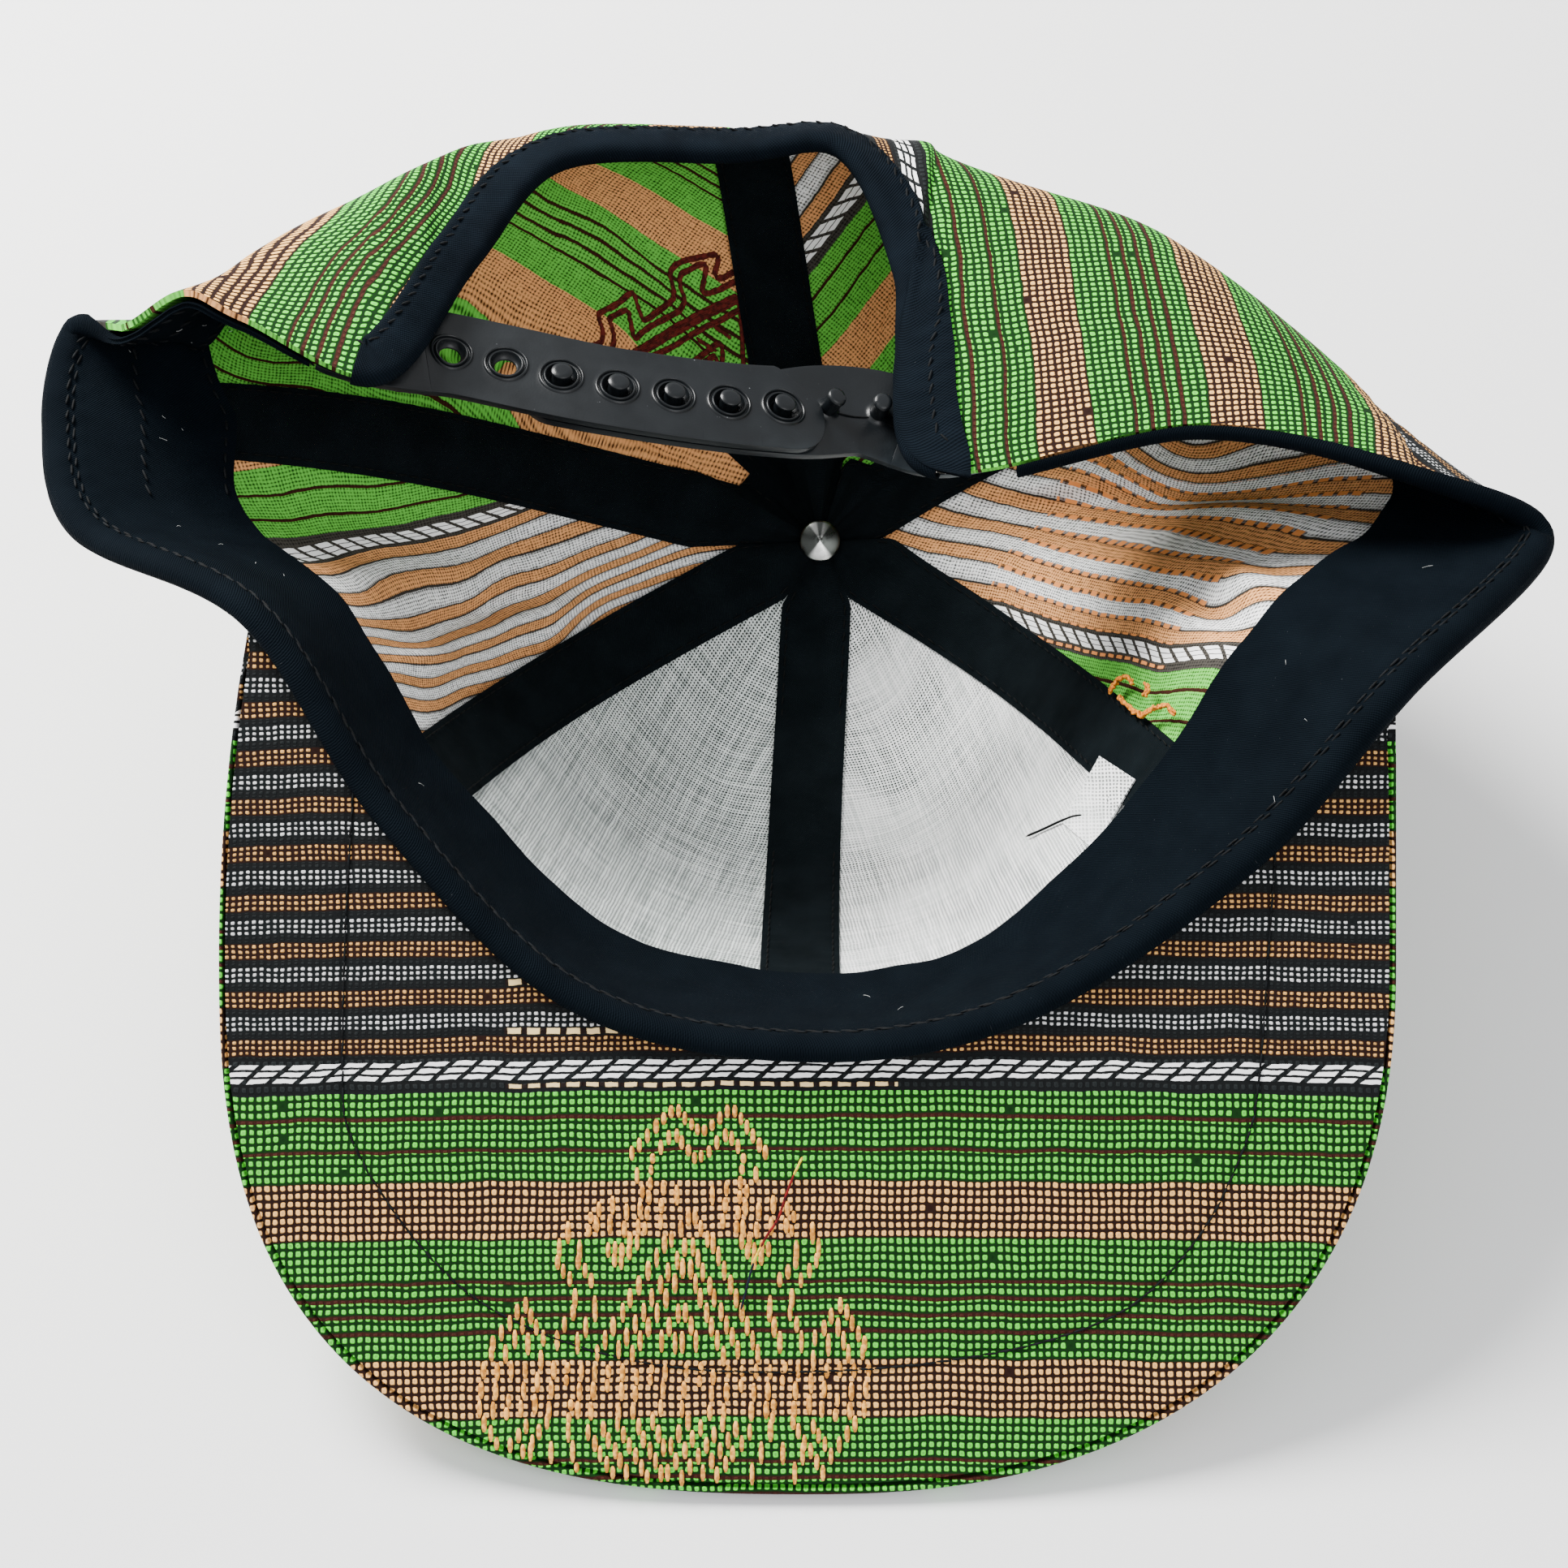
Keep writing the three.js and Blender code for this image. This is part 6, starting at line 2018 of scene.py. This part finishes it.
def back_motif():
    """The motif's loose back threads on the inside of the rear left panel."""
    rng = np.random.default_rng(5)
    paths = []
    for line in BACK_MOTIF:
        middle = smoothed(line, len(line) * 4)
        for shift in (-13, 0, 13):
            loose = middle + shift * np.array([0.6, 0.8]) + rng.normal(0, 2.0, middle.shape)
            paths.append(on_inner_wall("arch", loose, 0.0, "left_rear_seam", CLOTH_T + 0.12))
    strands("motif_back_threads", paths, 0.26, "red_thread", depth=0.5)


def buckram_flap():
    """The stiffener's corner that laps over the end of the front right tape."""
    a, b, c, d = (np.array(k, float) for k in FLAP["corners"])
    rows, columns = FLAP["grid"]
    f = np.linspace(0, 1, rows)[:, None, None]
    g = np.linspace(0, 1, columns)[None, :, None]
    spots = (a * (1 - f) + b * f) * (1 - g) + (d * (1 - f) + c * f) * g
    near, far = FLAP["lift"]
    places = seen_on_wall("corner", spots.reshape(-1, 2), "front_centre", FLAP["last"], near)
    u, s = places.reshape(rows, columns, 2).transpose(2, 0, 1)
    lift = np.broadcast_to(near + (far - near) * g[..., 0], (rows, columns))
    top, bottom = (rest(on_grid(u, s, depth)) for depth in (lift, lift - FLAP["thick"]))
    uv = spots / VIEWS["corner"][2] / 7.0 + 60
    make_sheet("buckram_corner", top, bottom, [FINISH["buckram"]], uv, ())


# Settings, operators and the panel.


class ClothSettings(bpy.types.PropertyGroup):
    """Sizes of the crown's cloth."""

    grid: bpy.props.FloatProperty(
        name="Mesh spacing", description="Spacing of the cloth's mesh, in millimetres",
        default=GRID_MM, min=0.6, max=6)


class StageSettings(bpy.types.PropertyGroup):
    """Light and camera of the studio."""

    key_power: bpy.props.FloatProperty(
        name="Key light", description="Power of the large light above", default=34.0, unit="POWER")
    fill_power: bpy.props.FloatProperty(
        name="Fill light", description="Power of the light near the camera", default=4.0,
        unit="POWER")
    sky: bpy.props.FloatProperty(
        name="Sky", description="Strength of the pale surroundings", default=1.0, min=0)
    lens: bpy.props.FloatProperty(
        name="Focal length", description="Of the camera, in millimetres", default=74.61)


class CAP_OT_crown_cloth(bpy.types.Operator):
    """Makes the six cloth panels of the crown."""

    bl_idname = "cap.crown_cloth"
    bl_label = "Crown cloth"

    def execute(self, context):
        spacing = context.scene.cap_cloth.grid
        for row in PANELS:
            crown_panel(*row, spacing)
        return {"FINISHED"}


class CAP_OT_stiffener(bpy.types.Operator):
    """Makes the open-mesh buckram inside the two front panels."""

    bl_idname = "cap.stiffener"
    bl_label = "Buckram"

    def execute(self, context):
        spacing = context.scene.cap_cloth.grid * 1.3
        front_stiffener("front_left_buckram", "front_left_seam", "front_centre", spacing)
        front_stiffener("front_right_buckram", "front_centre", "front_right_seam", spacing)
        return {"FINISHED"}


class CAP_OT_tapes(bpy.types.Operator):
    """Makes the seam tapes, the sweatband and the arch binding."""

    bl_idname = "cap.tapes"
    bl_label = "Tapes and band"

    def execute(self, context):
        for row in TAPES:
            seam_tape(*row)
        sweatband()
        arch_binding()
        return {"FINISHED"}


class CAP_OT_peak(bpy.types.Operator):
    """Makes the two cloth covers of the peak."""

    bl_idname = "cap.peak"
    bl_label = "Peak"

    def execute(self, context):
        peak_under_cover()
        peak_upper_cover()
        return {"FINISHED"}


class CAP_OT_strap(bpy.types.Operator):
    """Makes both halves of the plastic snap strap."""

    bl_idname = "cap.strap"
    bl_label = "Snap strap"

    def execute(self, context):
        snap_strap()
        return {"FINISHED"}


class CAP_OT_button(bpy.types.Operator):
    """Makes the covered button and its spun rivet."""

    bl_idname = "cap.button"
    bl_label = "Button"

    def execute(self, context):
        turned_piece("covered_button", "crown_button", 0, BUTTON_SECTION, FINISH["cloth"])
        turned_piece("spun_rivet", "button_rivet", OVER_BUCKRAM + TAPE_T + 0.3, RIVET_SECTION,
                     FINISH["steel"])
        return {"FINISHED"}


class CAP_OT_motif(bpy.types.Operator):
    """Makes the woven figure on the peak."""

    bl_idname = "cap.motif"
    bl_label = "Woven motif"

    def execute(self, context):
        woven_motif(float_tree())
        return {"FINISHED"}


class CAP_OT_stitching(bpy.types.Operator):
    """Makes the stitched lines of the peak, the band, the binding and the tapes."""

    bl_idname = "cap.stitching"
    bl_label = "Stitching"

    def execute(self, context):
        all_stitches()
        return {"FINISHED"}


class CAP_OT_threads(bpy.types.Operator):
    """Makes the loose threads, the motif's back, the fray, the lint and the stiffener's corner."""

    bl_idname = "cap.threads"
    bl_label = "Loose threads"

    def execute(self, context):
        loose_threads()
        back_motif()
        buckram_flap()
        return {"FINISHED"}


class CAP_OT_stage(bpy.types.Operator):
    """Makes the pale floor, the soft light and the camera."""

    bl_idname = "cap.stage"
    bl_label = "Stage"

    def execute(self, context):
        stage(context.scene.cap_stage)
        return {"FINISHED"}


# Lights: name, place, size, setting of its power, colour.
LIGHTS = (
    ("key_light", (-0.5, 0.45, 0.75), 0.5, "key_power", (1, 0.99, 0.97)),
    ("fill_light", (0.35, -0.6, 0.75), 0.7, "fill_power", (0.97, 0.98, 1)),
)
LIT_SPOT = (0, 0, 0.06)
FLOOR_HALF = 3.0
FLOOR_GREY = (0.9, 0.9, 0.9, 1)
SKY_COLOUR = (0.97, 0.98, 1.0, 1)


def area_light(name, location, size, power, colour):
    data = bpy.data.lights.new(name, "AREA")
    data.shape = "DISK"
    data.size = size
    data.energy = power
    data.color = colour
    lamp = linked(name, data)
    lamp.location = location
    way = Vector(LIT_SPOT) - Vector(location)
    lamp.rotation_euler = way.to_track_quat("-Z", "Y").to_euler()


def stage(settings):
    material, tree, shader = new_material("pale_floor", 0.9)
    feed(tree, shader.inputs["Base Color"], FLOOR_GREY)
    corners = [(x * FLOOR_HALF, y * FLOOR_HALF, 0) for x, y in ((-1, -1), (1, -1), (1, 1), (-1, 1))]
    floor = new_mesh("studio_floor", corners, [(0, 1, 2, 3)], material)
    linked("studio_floor", floor)

    world = bpy.data.worlds.new("pale_room")
    world.use_nodes = True
    sky = world.node_tree.nodes["Background"]
    sky.inputs["Color"].default_value = SKY_COLOUR
    sky.inputs["Strength"].default_value = settings.sky
    bpy.context.scene.world = world
    for name, location, size, power, colour in LIGHTS:
        area_light(name, location, size, getattr(settings, power), colour)

    data = bpy.data.cameras.new("photo_camera")
    data.sensor_width = 36
    data.lens = settings.lens
    data.clip_start = 0.01
    camera = linked("photo_camera", data)
    spot = turned(np.array([CAMERA["x"], 0.0, CAMERA["height"]]))
    spot[:2] -= MIDDLE
    spot[2] -= FLOOR
    camera.location = spot * MM
    camera.rotation_euler = (LEAN, 0, 0)
    bpy.context.scene.camera = camera


class CAP_PT_panel(bpy.types.Panel):
    """Lists the cap's steps in the sidebar."""

    bl_idname = "CAP_PT_panel"
    bl_label = "Snapback cap"
    bl_space_type = "VIEW_3D"
    bl_region_type = "UI"
    bl_category = "Cap"

    def draw(self, context):
        self.layout.prop(context.scene.cap_cloth, "grid")
        for key in ("key_power", "fill_power", "sky", "lens"):
            self.layout.prop(context.scene.cap_stage, key)
        for operator in OPERATORS:
            self.layout.operator(operator.bl_idname)


OPERATORS = (CAP_OT_crown_cloth, CAP_OT_stiffener, CAP_OT_tapes, CAP_OT_peak, CAP_OT_motif,
             CAP_OT_strap, CAP_OT_button, CAP_OT_stitching, CAP_OT_threads, CAP_OT_stage)
CLASSES = (ClothSettings, StageSettings, *OPERATORS, CAP_PT_panel)


def register():
    for item in CLASSES:
        bpy.utils.register_class(item)
    bpy.types.Scene.cap_cloth = bpy.props.PointerProperty(type=ClothSettings)
    bpy.types.Scene.cap_stage = bpy.props.PointerProperty(type=StageSettings)


def unregister():
    del bpy.types.Scene.cap_stage
    del bpy.types.Scene.cap_cloth
    for item in reversed(CLASSES):
        bpy.utils.unregister_class(item)


def main():
    register()
    make_finishes()
    for operator in OPERATORS:
        group, name = operator.bl_idname.split(".")
        getattr(getattr(bpy.ops, group), name)()


if __name__ == "__main__":
    main()
